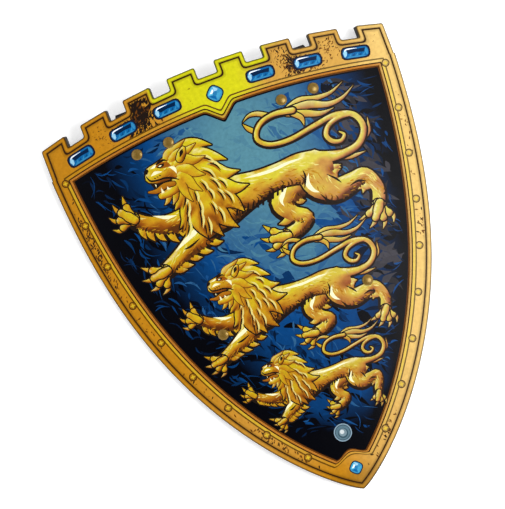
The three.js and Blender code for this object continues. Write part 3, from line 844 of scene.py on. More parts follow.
class Lion:
    """One lion at its place and scale."""

    def __init__(self, art, paint, middle, scale, rng, tone, tuck):
        self.art = art
        self.paint = paint
        self.middle = np.array(middle, float)
        self.scale = scale
        self.pen = scale ** 0.6
        self.tuck = tuck
        self.rng = rng
        shade, gold, light = (np.array(part) * tone
                              for part in (paint.lion_shade, paint.lion_gold, paint.lion_light))
        deep = mixed(shade, paint.ink, 0.7)
        gleam = mixed(light, paint.lion_glow, 0.5)
        self.shade, self.gold, self.light, self.gleam = shade, gold, light, gleam
        self.seam = mixed(shade, paint.ink, 0.6)
        warm = mixed(gold, light, 0.5)
        self.ramp = tone_ramp(((-1.0, deep), (-0.74, shade), (-0.38, gold), (-0.05, warm),
                               (0.16, light), (0.48, light), (0.60, gleam), (0.78, light), (1.0, gold)))
        self.lock_ramp = tone_ramp(((-1.0, shade), (-0.2, gold), (0.1, warm), (0.5, light),
                                    (0.9, mixed(light, gleam, 0.5))))

    def at_place(self, points):
        """Points at this lion's place and scale, with the feet drawn in where the field is narrow."""
        away = np.asarray(points, float) - LION_MIDDLE
        away[:, 0] *= 1 - self.tuck * np.clip(-away[:, 1] / 55, 0, 1)
        return self.middle + self.scale * away

    def placed(self, rows, steps=5):
        """Smooth curve at this lion's place and scale."""
        curve = smooth(rows, steps)
        curve[:, :2] = self.at_place(curve[:, :2])
        curve[:, 2] *= self.scale
        return curve

    def put(self, rows, tone):
        """Flat shape with straight sides."""
        self.art.add(self.at_place(rows), tone)

    def shadow(self, paths, reach):
        """Heavy ink under the whole figure, towards its dark side."""
        for path in paths:
            curve = self.placed(path)
            curve[:, :2] += reach * self.pen * SHADOW_SHIFT
            self.art.add(ribbon(curve, grow=reach * self.pen), self.paint.ink)

    def limbs(self, paths, ink=2.1, hatched=0, tufts=(), dims=None):
        """Rounded limbs and their tufts, with one outline and one shading."""
        curves = [self.placed(path) for path in paths]
        fringe = [self.placed(path, 4) for path in tufts]
        for curve in curves + fringe:
            self.art.add(ribbon(curve, grow=ink * self.pen), self.paint.ink)
        for curve in fringe:
            self.art.add(ribbon(curve), rounded_paint([curve], self.lock_ramp))
        tone = rounded_paint(curves, self.ramp, dims)
        for curve in curves:
            self.art.add(ribbon(curve), tone)
            self.art.dot_along(curve)
        for curve in curves[:hatched]:
            self.hatch(curve)

    def hatch(self, curve):
        """Short ink strokes from the dark side of a limb."""
        run = np.gradient(curve[:, :2], axis=0)
        travelled = travelled_along(curve[:, :2])
        for distance in np.arange(0.12 * travelled[-1], 0.94 * travelled[-1], HATCH_PITCH * self.pen):
            k = int(np.searchsorted(travelled, distance))
            along, side = heading(run[k])
            side = side if side @ LIGHT_FROM < 0 else -side
            if side @ LIGHT_FROM > -0.35:
                continue
            width = curve[k, 2]
            reach, lean = self.rng.uniform(0.30, 0.66), self.rng.uniform(-0.3, 0.05)
            root = curve[k, :2] + side * width * 1.02
            tip = curve[k, :2] + side * width * (1 - reach) + along * width * lean
            bow = (root + tip) / 2 + along * width * 0.10
            stroke = smooth([(*root, 1.2 * self.pen), (*bow, 0.8 * self.pen), (*tip, 0.02)], 3)
            tone = mixed(self.paint.ink, self.paint.lion_shade, self.rng.uniform(0.0, 0.35))
            self.art.add(ribbon(stroke), tone)

    def fur(self, path, count, reach=8.0):
        """Short brush strokes that follow a limb."""
        curve = self.placed(path)
        for _ in range(count):
            k = self.rng.randrange(1, len(curve) - 1)
            run, side = heading(curve[k + 1, :2] - curve[k - 1, :2])
            side = side if side @ LIGHT_FROM > 0 else -side
            across = self.rng.uniform(-0.85, 0.75)
            start = curve[k, :2] + side * across * curve[k, 2]
            way = run + side * self.rng.uniform(-0.5, 0.1)
            end = start + way * self.rng.uniform(0.5, 1.0) * reach * self.scale
            tones = (self.shade, self.gold) if across < 0.15 else (self.light, self.gleam)
            tone = mixed(*tones, self.rng.uniform(0.25, 0.8))
            middle = (*(0.6 * start + 0.4 * end), self.rng.uniform(0.35, 0.8) * self.pen)
            self.art.add(ribbon(smooth([(*start, 0.1), middle, (*end, 0.05)], 2)), tone)

    def leaf(self, path, ink=1.5, open_root=False):
        """Pointed lock, flame or claw; an open root runs into what it grows from."""
        curve = self.placed(path, 4)
        first = len(curve) // 3 if open_root else 0
        edge = self.seam if open_root else self.paint.ink
        self.art.add(ribbon(curve[first:], grow=ink * self.pen), edge)
        self.art.add(ribbon(curve), rounded_paint([curve], self.lock_ramp))

    def line(self, path):
        """Tapered ink line."""
        curve = self.placed(path, 4)
        curve[:, 2] *= 1.35 * self.pen / self.scale
        self.art.add(ribbon(curve), self.paint.ink)

    def glow(self, path):
        """Bright tapered mark."""
        self.art.add(ribbon(self.placed(path, 4)), self.paint.lion_glow)

    def paw(self, x, y, pointing, size=1.25):
        """Four knuckled toes with long claws, spread about the way the paw points, in degrees."""
        for spread in TOE_SPREADS:
            a = math.radians(pointing + spread)
            dx, dy = size * math.cos(a), size * math.sin(a)
            bend = math.radians(pointing + 0.6 * spread - 30)
            toe, claw = ([(x + far * dx, y + far * dy, wide * size) for far, wide in part]
                         for part in (TOE, CLAW))
            claw_x, claw_y, _ = claw[-1]
            tip = CLAW_TIP * size
            claw.append((claw_x + tip * math.cos(bend), claw_y + tip * math.sin(bend), 0.0))
            self.leaf(claw, ink=1.2)
            self.limbs([toe], ink=1.5)

    def tufts(self, path, side, start, end, count, reach, lean):
        """Paths of curved tufts of fur along one side of a limb."""
        curve = smooth(path, 8)
        paths = []
        for i in range(count):
            k = int((start + (end - start) * i / (count - 1)) * (len(curve) - 2))
            run, left = heading(curve[k + 1, :2] - curve[k, :2])
            out = side * left
            reach_here = reach * self.rng.uniform(0.75, 1.2)
            root = curve[k, :2] + out * curve[k, 2] * 0.5 - run * lean * 0.5
            middle = curve[k, :2] + out * (curve[k, 2] + 0.4 * reach_here)
            tip = curve[k, :2] + out * (curve[k, 2] + reach_here) + run * lean
            paths.append([(*root, 4.6), (*middle, 3.4), (*tip, 0.0)])
        return paths

    def mane(self):
        """Flames round the mass of the mane, with curls that flow back and down from the face."""
        for flame in MANE_FLAMES:
            self.leaf(flame, ink=1.8)
        curves = [self.placed(path) for path in (MANE, *MANE_FLAMES)]
        tone = rounded_paint(curves, self.ramp, MANE_DIMS)
        for curve in curves:
            self.art.add(ribbon(curve), tone)
            self.art.dot_along(curve)
        for reach, first, count in MANE_CURLS:
            for i in range(count):
                turn = first + (LAST_CURL - first) * (i + self.rng.uniform(-0.2, 0.2)) / (count - 1)
                flow = float(share_of(turn, -112, 8))
                a = math.radians(turn)
                self.curl(-62 + 0.72 * reach * math.cos(a), 150 + reach * math.sin(a), turn - 30 * flow,
                          self.rng.uniform(15, 23), 16 + 20 * flow)

    def curl(self, x, y, turn, span, sweep):
        """Tapered ink stroke of hair, with a light and a dark stroke beside it."""
        a, b = math.radians(turn), math.radians(turn - sweep)
        half = 0.5 * span
        for beside, width, tone in ((2.6, 1.3, mixed(self.light, self.gleam, 0.7)),
                                    (-1.6, 1.5, mixed(self.shade, self.gold, 0.3)),
                                    (0.0, 1.0, self.paint.ink)):
            root = (x - beside * math.sin(a), y + beside * math.cos(a))
            middle = (root[0] + half * math.cos(a), root[1] + half * math.sin(a))
            tip = (middle[0] + half * math.cos(b), middle[1] + half * math.sin(b))
            self.art.add(ribbon(self.placed([(*root, 0.1), (*middle, width), (*tip, 0.1)], 4)), tone)


def draw_lion(lion):
    """One lion from its shadow and far limbs to its near limbs, mane and head."""
    lion.shadow([TORSO, NEAR_FORELEG, FAR_FORELEG, NEAR_HIND_LEG, FAR_HIND_LEG, MANE], 3.2)
    lion.shadow([TAIL, TAIL_CURL], 2.0)
    for flame in TAIL_FLAMES:
        lion.leaf(flame)
    fringe = lion.tufts(FAR_FORELEG, 1, 0.3, 0.82, 5, 9, -6)
    lion.limbs([FAR_FORELEG], hatched=1, tufts=fringe, dims=[0.62])
    lion.fur(FAR_FORELEG, 40)
    lion.paw(-134, 118, 146)
    fringe = lion.tufts(FAR_HIND_LEG, -1, 0.5, 0.78, 4, 9, -5)
    fringe += lion.tufts(FAR_HIND_LEG, 1, 0.2, 0.36, 2, 7, -4)
    lion.limbs([FAR_HIND_LEG], hatched=1, tufts=fringe, dims=[0.3])
    lion.fur(FAR_HIND_LEG, 40)
    lion.paw(17, 40, 186)
    fringe = lion.tufts(NEAR_FORELEG, 1, 0.32, 0.84, 5, 9, -6)
    fringe += lion.tufts(NEAR_HIND_LEG, 1, 0.16, 0.36, 4, 10, 5)
    fringe += lion.tufts(NEAR_HIND_LEG, -1, 0.58, 0.78, 3, 8, -5)
    lion.limbs([TORSO, NEAR_FORELEG, NEAR_HIND_LEG, TAIL_ROOT, TAIL_CURL, TAIL], hatched=3,
               tufts=fringe, dims=[0.05, 0.2, 0.22, 0.0, 0.0, 0.0])
    for path, count in ((TORSO, 120), (NEAR_FORELEG, 50), (NEAR_HIND_LEG, 70)):
        lion.fur(path, count)
    draw_lion_body_marks(lion)
    lion.paw(-121, 50, 202)
    lion.paw(126, 35, 248)
    lion.mane()
    draw_lion_head(lion)


def draw_lion_body_marks(lion):
    """Muscles, ribs and folds."""
    for path in BODY_GLOWS:
        lion.glow(path)
    for path in BODY_LINES:
        lion.line(path)
    for i in range(RIBS):
        x = -24 + 6.2 * i
        y = 80 + 0.0042 * (x + 8) ** 2 + 0.12 * i
        lion.line([(x, y, 0.9), (x + 2.6, y + 5.5, 0.7), (x + 4.2, y + 10.5 - 0.5 * i, 0.05)])


def draw_lion_head(lion):
    """Open mouth, tongue and fangs, then the skull, the locks round the face, the nose and the eye."""
    paint = lion.paint
    lion.put(MOUTH, paint.ink)
    lion.limbs([JAW], ink=1.2, tufts=BEARD)
    tongue = lion.placed(TONGUE, 4)
    lion.art.add(ribbon(tongue, grow=0.9 * lion.pen), paint.ink)
    tongue_ramp = tone_ramp(((-1, lion.shade), (0.6, mixed(lion.gold, lion.shade, 0.4))))
    lion.art.add(ribbon(tongue), rounded_paint([tongue], tongue_ramp))
    for x, y, fang in FANGS:
        lion.put([(x - 1.7, y), (x + 1.7, y), (x - 0.3, y + fang)], paint.lion_glow)
    lion.limbs(SKULL, ink=1.6)
    lion.fur(CHEEK, 30, 6.0)
    for lock in FACE_LOCKS:
        lion.leaf(lock, ink=1.1, open_root=True)
    lion.limbs([EAR], ink=1.1)
    lion.line(EAR_HOLLOW)
    lion.put(NOSE, paint.ink)
    lion.line(LIP)
    lion.art.add(ribbon(lion.placed(EYE_SHADE, 4)), lion.shade)
    lion.line(BROW)
    lion.put(EYE, paint.ink)
    lion.put(EYE_GLINT, paint.lion_glow)
    for path in FACE_GLOWS:
        lion.glow(path)
    for k in range(WHISKER_DOTS):
        x, y = -95 + 3.2 * k, 151 + 0.4 * k
        lion.line([(x, y, 0.4), (x + 1.2, y - 0.7, 0.4)])


def draw_face(size, paint):
    """All that is printed on the face."""
    art = Artwork()
    rng = random.Random(PRINT_SEED)
    draw_border(art, size, paint, rng)
    draw_studs(art, size, paint)
    draw_gems(art, size, paint)
    draw_field(art, size, paint, rng)
    draw_boss(art, paint)
    for middle, scale, tone, tuck in LIONS:
        draw_lion(Lion(art, paint, middle, scale, rng, tone, tuck))
    return art


# Planar map: every printed edge becomes an edge of the sheet's front face

SAME_POINT = 1e-4
POINTS_AT_ONCE = 4000
FRONT_GRID = (9.0, 2.0)
BACK_GRID = (11.0, 3.0)


def inside(points, polygon):
    """Which points lie in a polygon, by winding number."""
    x, y = points[:, 0, None], points[:, 1, None]
    ax, ay = polygon[:, 0], polygon[:, 1]
    bx, by = np.roll(polygon, -1, axis=0).T
    cross = (bx - ax) * (y - ay) - (x - ax) * (by - ay)
    rising = (ay <= y) & (by > y) & (cross > 0)
    falling = (ay > y) & (by <= y) & (cross < 0)
    return rising.sum(axis=1) != falling.sum(axis=1)


def inside_in_parts(points, polygon):
    """The same for many points, a few thousand at once."""
    parts = np.array_split(points, max(1, len(points) // POINTS_AT_ONCE))
    return np.concatenate([inside(part, polygon) for part in parts])


def boxes_of(outlines):
    """Lowest and highest corners of each outline."""
    return np.array([(*outline.min(axis=0), *outline.max(axis=0)) for outline in outlines])


def visible_edges(art):
    """Edges of the shapes that no single higher shape covers, as starts and ends."""
    starts = np.concatenate(art.outlines)
    ends = np.concatenate([np.roll(outline, -1, axis=0) for outline in art.outlines])
    order = np.concatenate([np.full(len(outline), i) for i, outline in enumerate(art.outlines)])
    low, high = np.minimum(starts, ends), np.maximum(starts, ends)
    shown = np.ones(len(starts), bool)
    boxes = boxes_of(art.outlines)
    for i in range(len(art.outlines) - 1, 0, -1):
        box = boxes[i]
        near = np.nonzero(shown & (order < i) & (low[:, 0] >= box[0]) & (high[:, 0] <= box[2])
                          & (low[:, 1] >= box[1]) & (high[:, 1] <= box[3]))[0]
        for place in (starts, ends, (starts + ends) / 2):
            near = near[inside_in_parts(place[near], art.outlines[i])] if len(near) else near
        shown[near] = False
    return starts[shown], ends[shown]


def triangulated(points, edges):
    """Constrained triangles over points, with the input index of each new vertex."""
    result = delaunay_2d_cdt([Vector(point) for point in points], [tuple(edge) for edge in edges], [],
                             0, SAME_POINT, True)
    vertices, _, faces, sources, _, _ = result
    vertices = np.array([tuple(vertex) for vertex in vertices])
    return vertices, np.array([face for face in faces if len(face) == 3]), sources


def top_shapes(centres, art):
    """Index of the highest shape over each centre."""
    top = np.zeros(len(centres), int)
    bare = np.ones(len(centres), bool)
    boxes = boxes_of(art.outlines)
    for i in range(len(art.outlines) - 1, 0, -1):
        box = boxes[i]
        near = np.nonzero(bare & (centres[:, 0] > box[0]) & (centres[:, 0] < box[2])
                          & (centres[:, 1] > box[1]) & (centres[:, 1] < box[3]))[0]
        if len(near):
            near = near[inside_in_parts(centres[near], art.outlines[i])]
            top[near] = i
            bare[near] = False
    return top


def distance_to(points, outline):
    """Least distance of each point to a closed outline."""
    start, span = outline, np.roll(outline, -1, axis=0) - outline
    squared = np.maximum((span ** 2).sum(axis=1), 1e-12)
    best = np.full(len(points), np.inf)
    for part in np.array_split(np.arange(len(points)), max(1, 2 * len(points) // POINTS_AT_ONCE)):
        away = points[part][:, None, :] - start[None]
        share = np.clip((away * span).sum(axis=2) / squared, 0, 1)
        best[part] = np.linalg.norm(away - share[:, :, None] * span, axis=2).min(axis=1)
    return best


def loop_edges(outline, first):
    """Edges round a closed outline whose points start at an index."""
    count = len(outline)
    return [(first + i, first + (i + 1) % count) for i in range(count)]


def grid_points(size, pitch, margin):
    """Points spread over the sheet, so that it can follow the bow."""
    xs = np.arange(-size.side_width, size.side_width, pitch)
    ys = np.arange(size.tip_y, size.crown_peak_y, pitch)
    grid = np.stack(np.meshgrid(xs, ys), axis=-1).reshape(-1, 2)
    return grid[inside(grid, shield_outline(size, margin))]


# Meshes of the flat sheet

def rivet_places(size):
    """Places of the rivets on the flat sheet, three for each strap."""
    places = []
    for side in (-1, 1):
        places.append((side * (size.strap_x + size.rivet_spread), size.upper_rivet_y))
        places.append((side * (size.strap_x - size.rivet_spread), size.upper_rivet_y))
        places.append((side * size.strap_x, size.lower_rivet_y))
    return places


def front_face(size, art):
    """Vertices, triangles and painted corner colours of the printed front."""
    loops = [shield_outline(size), shield_outline(size, 0.3), shield_outline(size, size.edge_round)]
    loops += [field_outline(size, size.border_bevel * share) for share in (0.0, 0.5, 1.0)]
    hole_radius = size.rivet_shank_radius + size.rivet_clearance
    holes = [circle(*place, hole_radius) for place in rivet_places(size)]
    points, edges = [], []
    for loop in loops + holes:
        edges += loop_edges(loop, len(points))
        points += list(loop)
    starts, ends = visible_edges(art)
    for start, end in zip(starts, ends):
        edges.append((len(points), len(points) + 1))
        points += [start, end]
    points += art.dots + list(grid_points(size, *FRONT_GRID))
    flat, faces, _ = triangulated(points, edges)
    centres = flat[faces].mean(axis=1)
    keep = inside_in_parts(centres, loops[0])
    for hole in holes:
        keep &= ~inside(centres, hole)
    faces, centres = faces[keep], centres[keep]

    depth = distance_to(flat, loops[0])
    in_field = inside_in_parts(flat, loops[3])
    rise = np.where(in_field, 0.0, np.clip(distance_to(flat, loops[3]) / size.border_bevel, 0, 1))
    rise = rise * rise * (3 - 2 * rise)
    round_off = np.clip(size.edge_round - depth, 0, None)
    drop = size.edge_round - np.sqrt(np.maximum(size.edge_round ** 2 - round_off ** 2, 0))
    height = size.border_relief * rise - drop

    top = top_shapes(centres, art)
    colours = np.zeros((len(faces), 3, 3))
    for i in np.unique(top):
        chosen = top == i
        tone = art.paints[i]
        if callable(tone):
            colours[chosen] = tone(flat[faces[chosen]].reshape(-1, 2)).reshape(-1, 3, 3)
        else:
            colours[chosen] = tone
    return np.column_stack((flat, height)), faces, colours


def border_loops(faces):
    """Closed chains of vertices along the open edges of a triangle mesh."""
    edges = np.concatenate((faces[:, (0, 1)], faces[:, (1, 2)], faces[:, (2, 0)])).astype(np.int64)
    base = int(faces.max()) + 1
    open_edge = ~np.isin(edges[:, 0] * base + edges[:, 1], edges[:, 1] * base + edges[:, 0])
    following = {int(a): int(b) for a, b in edges[open_edge]}
    loops = []
    while following:
        start, here = following.popitem()
        loop = [start]
        while here != start:
            loop.append(here)
            here = following.pop(here)
        loops.append(loop)
    return loops


def sheet_mesh(size, paint):
    """Flat closed mesh of the foam sheet, with its print as corner colours."""
    vertices, triangles, tones = front_face(size, draw_face(size, paint))
    used = np.unique(triangles)
    renumber = np.full(len(vertices), -1)
    renumber[used] = np.arange(len(used))
    vertices, triangles = vertices[used], renumber[triangles]
    places = [tuple(vertex) for vertex in vertices]
    faces = [tuple(int(i) for i in face) for face in triangles]
    painted = len(faces)

    back_points, back_ids, back_edges = [], [], []
    wall_levels = (-0.35 * size.foam_thickness, size.edge_round - size.foam_thickness)
    for loop in border_loops(triangles):
        above = loop
        for level in wall_levels:
            below = list(range(len(places), len(places) + len(loop)))
            places += [(vertices[i][0], vertices[i][1], level) for i in loop]
            for k in range(len(loop)):
                n = (k + 1) % len(loop)
                faces.append((above[k], below[k], below[n], above[n]))
            above = below
        back_edges += loop_edges(loop, len(back_points))
        back_points += [vertices[i][:2] for i in loop]
        back_ids += above
    inner = shield_outline(size, size.edge_round)
    back_edges += loop_edges(inner, len(back_points))
    back_points += [*inner, *grid_points(size, *BACK_GRID)]
    flat, back_faces, sources = triangulated(back_points, back_edges)
    centres = flat[back_faces].mean(axis=1)
    keep = inside_in_parts(centres, shield_outline(size))
    for x, y in rivet_places(size):
        keep &= np.hypot(centres[:, 0] - x, centres[:, 1] - y) > size.rivet_shank_radius
    numbers = {}
    for i, source in enumerate(sources):
        rim = [k for k in source if k < len(back_ids)]
        if rim:
            numbers[i] = back_ids[rim[0]]
    for face in back_faces[keep]:
        corners = []
        for i in reversed(face):
            if int(i) not in numbers:
                numbers[int(i)] = len(places)
                places.append((*flat[i], -size.foam_thickness))
            corners.append(numbers[int(i)])
        faces.append(tuple(corners))

    mesh = bpy.data.meshes.new("foam_sheet_flat")
    mesh.from_pydata([tuple(MM * value for value in place) for place in places], [], faces)
    printed = mesh.attributes.new("printed", "BOOLEAN", "FACE")
    printed.data.foreach_set("value", [i < painted for i in range(len(faces))])
    shade = mesh.color_attributes.new("print", "FLOAT_COLOR", "CORNER")
    values = np.ones((len(mesh.loops), 4), np.float32)
    values[:, :3] = paint.foam
    values[:painted * 3, :3] = tones.reshape(-1, 3)
    shade.data.foreach_set("color", values.ravel())
    return mesh


# Geometry Nodes: bowing the flat pieces, and setting the rivets

LOWEST_PLACE = (-1.0, -1.0, 0.0)


def new_tree(name, inputs):
    """Geometry tree with named inputs, its group inputs and its group output."""
    tree = bpy.data.node_groups.new(name, "GeometryNodeTree")
    tree.interface.new_socket("Geometry", in_out="INPUT", socket_type="NodeSocketGeometry")
    for label, kind, default in inputs:
        socket = tree.interface.new_socket(label, in_out="INPUT", socket_type=kind)
        if default is not None:
            socket.default_value = default
    tree.interface.new_socket("Geometry", in_out="OUTPUT", socket_type="NodeSocketGeometry")
    return tree, tree.nodes.new("NodeGroupInput").outputs, tree.nodes.new("NodeGroupOutput")


def fill(tree, node, inputs):
    """Give a node's inputs their values or their links."""
    for socket, value in inputs.items():
        if isinstance(value, bpy.types.NodeSocket):
            tree.links.new(value, node.inputs[socket])
        else:
            node.inputs[socket].default_value = value
    return node.outputs


def add_node(tree, kind, inputs=None, **choices):
    """Outputs of a new node with its choices made and its inputs filled."""
    node = tree.nodes.new(kind)
    for name, value in choices.items():
        setattr(node, name, value)
    return fill(tree, node, inputs or {})


def math_node(tree, operation, *values):
    """Result of one operation on values or sockets."""
    return add_node(tree, "ShaderNodeMath", dict(enumerate(values)), operation=operation)[0]


def bow_tree():
    """Bows a flat piece about its long axis, tilts it and lays it on the ground."""
    tree, given, result = new_tree("bow_and_lay", [
        ("Radius", "NodeSocketFloat", 0.6), ("Tilt", "NodeSocketFloat", 0.0),
        ("Place", "NodeSocketVector", (0.0, 0.0, 0.0)),
        ("Core", "NodeSocketMaterial", None), ("Face", "NodeSocketMaterial", None)])
    flat = add_node(tree, "ShaderNodeSeparateXYZ", {0: add_node(tree, "GeometryNodeInputPosition")[0]})
    radius = math_node(tree, "ADD", given["Radius"], flat["Z"])
    sine = math_node(tree, "DIVIDE", flat["X"], given["Radius"])
    squared = math_node(tree, "MULTIPLY", sine, sine)
    cosine = math_node(tree, "SQRT", math_node(tree, "SUBTRACT", 1.0, squared))
    height = math_node(tree, "SUBTRACT", math_node(tree, "MULTIPLY", radius, cosine), given["Radius"])
    bowed = add_node(tree, "ShaderNodeCombineXYZ", {
        "X": math_node(tree, "MULTIPLY", radius, sine), "Y": flat["Y"], "Z": height})
    tilted = add_node(tree, "ShaderNodeVectorRotate", {"Vector": bowed[0], "Angle": given["Tilt"]},
                      rotation_type="X_AXIS")
    lifted = add_node(tree, "ShaderNodeVectorMath", {0: tilted[0], 1: given["Place"]}, operation="ADD")
    laid = add_node(tree, "ShaderNodeVectorMath", {0: lifted[0], 1: LOWEST_PLACE}, operation="MAXIMUM")
    moved = add_node(tree, "GeometryNodeSetPosition", {
        "Geometry": given["Geometry"], "Position": laid[0]})
    real = add_node(tree, "GeometryNodeRealizeInstances", {0: moved[0]})
    core = add_node(tree, "GeometryNodeSetMaterial", {"Geometry": real[0], "Material": given["Core"]})
    printed = add_node(tree, "GeometryNodeInputNamedAttribute", {"Name": "printed"},
                       data_type="BOOLEAN")
    face = add_node(tree, "GeometryNodeSetMaterial", {
        "Geometry": core[0], "Selection": printed["Attribute"], "Material": given["Face"]})
    fill(tree, result, {"Geometry": face[0]})
    return tree


def rivet_tree():
    """Sets one rivet on every point."""
    tree, given, result = new_tree("set_rivets", [
        ("Rivet", "NodeSocketObject", None), ("Finish", "NodeSocketMaterial", None)])
    pattern = add_node(tree, "GeometryNodeObjectInfo", {"Object": given["Rivet"]})
    placed = add_node(tree, "GeometryNodeInstanceOnPoints", {
        "Points": given["Geometry"], "Instance": pattern["Geometry"]})
    real = add_node(tree, "GeometryNodeRealizeInstances", {0: placed[0]})
    finish = add_node(tree, "GeometryNodeSetMaterial", {
        "Geometry": real[0], "Material": given["Finish"]})
    fill(tree, result, {"Geometry": finish[0]})
    return tree


def set_inputs(modifier, values):
    """Set a modifier's named inputs by their identifiers."""
    for item in modifier.node_group.interface.items_tree:
        if item.item_type == "SOCKET" and item.in_out == "INPUT" and item.name in values:
            modifier[item.identifier] = values[item.name]


def resting_place(size):
    """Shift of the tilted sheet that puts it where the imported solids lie."""
    low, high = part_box(BODY_NODE)
    tilt = size.lying_tilt
    tip = size.tip_y * math.cos(tilt) - size.border_relief * math.sin(tilt)
    x = size.middle_crenel / 2 + size.crown_corner
    crest_y = arch(x, size.crown_peak_y, size.crown_radius)
    radius = size.bow_radius + size.border_relief
    crest_z = radius * math.sqrt(1 - (x / size.bow_radius) ** 2) - size.bow_radius
    top = crest_y * math.sin(tilt) + crest_z * math.cos(tilt)
    return Vector((0.0, low[1] - tip * MM, high[2] - top * MM))


def bowed_piece(context, name, flat_mesh, core, face=None, pattern=None):
    """Object at the origin whose mesh is the flat mesh, bowed and laid down."""
    size = in_millimetres(context.scene.shield_sizes)
    flat = bpy.data.objects.new(name + "_flat", flat_mesh)
    context.scene.collection.objects.link(flat)
    if pattern:
        modifier = flat.modifiers.new("pattern", "NODES")
        modifier.node_group = rivet_tree()
        set_inputs(modifier, {"Rivet": pattern, "Finish": core})
    modifier = flat.modifiers.new("bow", "NODES")
    modifier.node_group = bpy.data.node_groups.get("bow_and_lay") or bow_tree()
    set_inputs(modifier, {"Radius": size.bow_radius * MM, "Tilt": size.lying_tilt,
                          "Place": resting_place(size), "Core": core, "Face": face or core})
    context.view_layer.update()
    evaluated = flat.evaluated_get(context.evaluated_depsgraph_get())
    mesh = bpy.data.meshes.new_from_object(evaluated)
    mesh.name = name
    mesh.shade_smooth()
    mesh.set_sharp_from_angle(angle=SHARP_ANGLE)
    flat.modifiers.clear()
    bpy.data.objects.remove(flat)
    piece = bpy.data.objects.new(name, mesh)
    context.scene.collection.objects.link(piece)
    return piece


# Materials

def new_material(name):
    """New material, its node tree and its shader."""
    material = bpy.data.materials.new(name)
    material.use_nodes = True
    return material, material.node_tree, material.node_tree.nodes["Principled BSDF"]


def noise(tree, scale, detail, coordinates):
    """Noise from 0 to 1."""
    inputs = {"Scale": scale, "Detail": detail, "Vector": coordinates}
    return add_node(tree, "ShaderNodeTexNoise", inputs)["Fac"]


def object_coordinates(tree):
    """Places on the object, in metres."""
    return add_node(tree, "ShaderNodeTexCoord")["Object"]


def spread(tree, value, low, high):
    """A value from 0 to 1, spread from low to high."""
    return add_node(tree, "ShaderNodeMapRange", {"To Min": low, "To Max": high, "Value": value})[0]


def mottled(tree, tone, low, high, factor):
    """Colour that varies between two shares of a tone."""
    dark, light = ((*(share * value for value in tone), 1.0) for share in (low, high))
    inputs = {"A": dark, "B": light, "Factor": factor}
    return add_node(tree, "ShaderNodeMix", inputs, data_type="RGBA")["Result"]


def bump(tree, height, strength, distance):
    """Normal that a height gives."""
    inputs = {"Strength": strength, "Distance": distance, "Height": height}
    return add_node(tree, "ShaderNodeBump", inputs)[0]


def print_material():
    """Satin printed film over foam: the drawn colours with a fine grain and a faint ripple."""
    material, tree, shader = new_material("printed_film")
    where = object_coordinates(tree)
    drawn = add_node(tree, "ShaderNodeVertexColor", layer_name="print")["Color"]
    grain = spread(tree, noise(tree, 260.0, 6.0, where), 0.64, 1.02)
    grained = add_node(tree, "ShaderNodeVectorMath", {0: drawn, "Scale": grain}, operation="SCALE")[0]
    fill(tree, shader, {
        "Base Color": grained,
        "Roughness": spread(tree, noise(tree, 60.0, 4.0, where), 0.28, 0.38),
        "Specular IOR Level": 0.035,
        "Normal": bump(tree, noise(tree, 420.0, 3.0, where), 0.12, 0.0003)})
    return material


def foam_material(paint, name):
    """Matt closed-cell foam with fine cells."""
    material, tree, shader = new_material(name)
    where = object_coordinates(tree)
    cells = add_node(tree, "ShaderNodeTexVoronoi", {"Scale": 900.0, "Vector": where})
    fill(tree, shader, {
        "Base Color": mottled(tree, paint.foam, 0.7, 1.9, noise(tree, 140.0, 5.0, where)),
        "Roughness": 0.82,
        "Normal": bump(tree, cells["Distance"], 0.35, 0.0004)})
    return material


def rivet_material(paint):
    """Satin bronze-coloured rivet with faint scuffs."""
    material, tree, shader = new_material("bronze_rivet")
    where = object_coordinates(tree)
    fill(tree, shader, {
        "Base Color": mottled(tree, paint.rivet, 0.72, 1.2, noise(tree, 500.0, 5.0, where)),
        "Roughness": spread(tree, noise(tree, 900.0, 3.0, where), 0.24, 0.34),
        "Metallic": 0.25,
        "Specular IOR Level": 0.7,
        "Specular Tint": (1.0, 0.82, 0.42, 1.0),
        "Normal": bump(tree, noise(tree, 1400.0, 2.0, where), 0.08, 0.0002)})
    return material


def floor_material(paint):
    """Pale table, faintly lit from below so that shadows stay light."""
    material, tree, shader = new_material("pale_floor")
    fill(tree, shader, {
        "Base Color": (*paint.floor, 1.0),
        "Roughness": spread(tree, noise(tree, 8.0, 2.0, object_coordinates(tree)), 0.85, 0.95),
        "Specular IOR Level": 0.1,
        "Emission Color": (1.0, 1.0, 1.0, 1.0),
        "Emission Strength": 0.3})
    return material


# Stage: the photograph looks square at the face, with the shield turned clockwise in the picture

FLOOR_HALF = 4.0
CAMERA_ROLL = math.radians(20.75)
CAMERA_AIM = (-23.6, 34.1)
CAMERA_DISTANCE = 3000.0
VIEW_HEIGHT = 559.4
SENSOR_WIDTH = 36.0
CLIP_END = 50.0
ROOM_LIGHT = {"From Min": 0.2, "From Max": 0.75, "To Min": 2.1, "To Max": 0.3}
LIGHT_DISTANCE = 2.6

# Name, heading, height, size and power of each light
LIGHTS = (("key", -20.75, 56, 1.5, 64.0), ("fill", 159.25, 40, 1.8, 10.0),
          ("head", 69.25, 64, 1.8, 6.0))


# Operators

def settings(context):
    """Sizes in millimetres, and colours."""
    return in_millimetres(context.scene.shield_sizes), in_millimetres(context.scene.shield_colours)


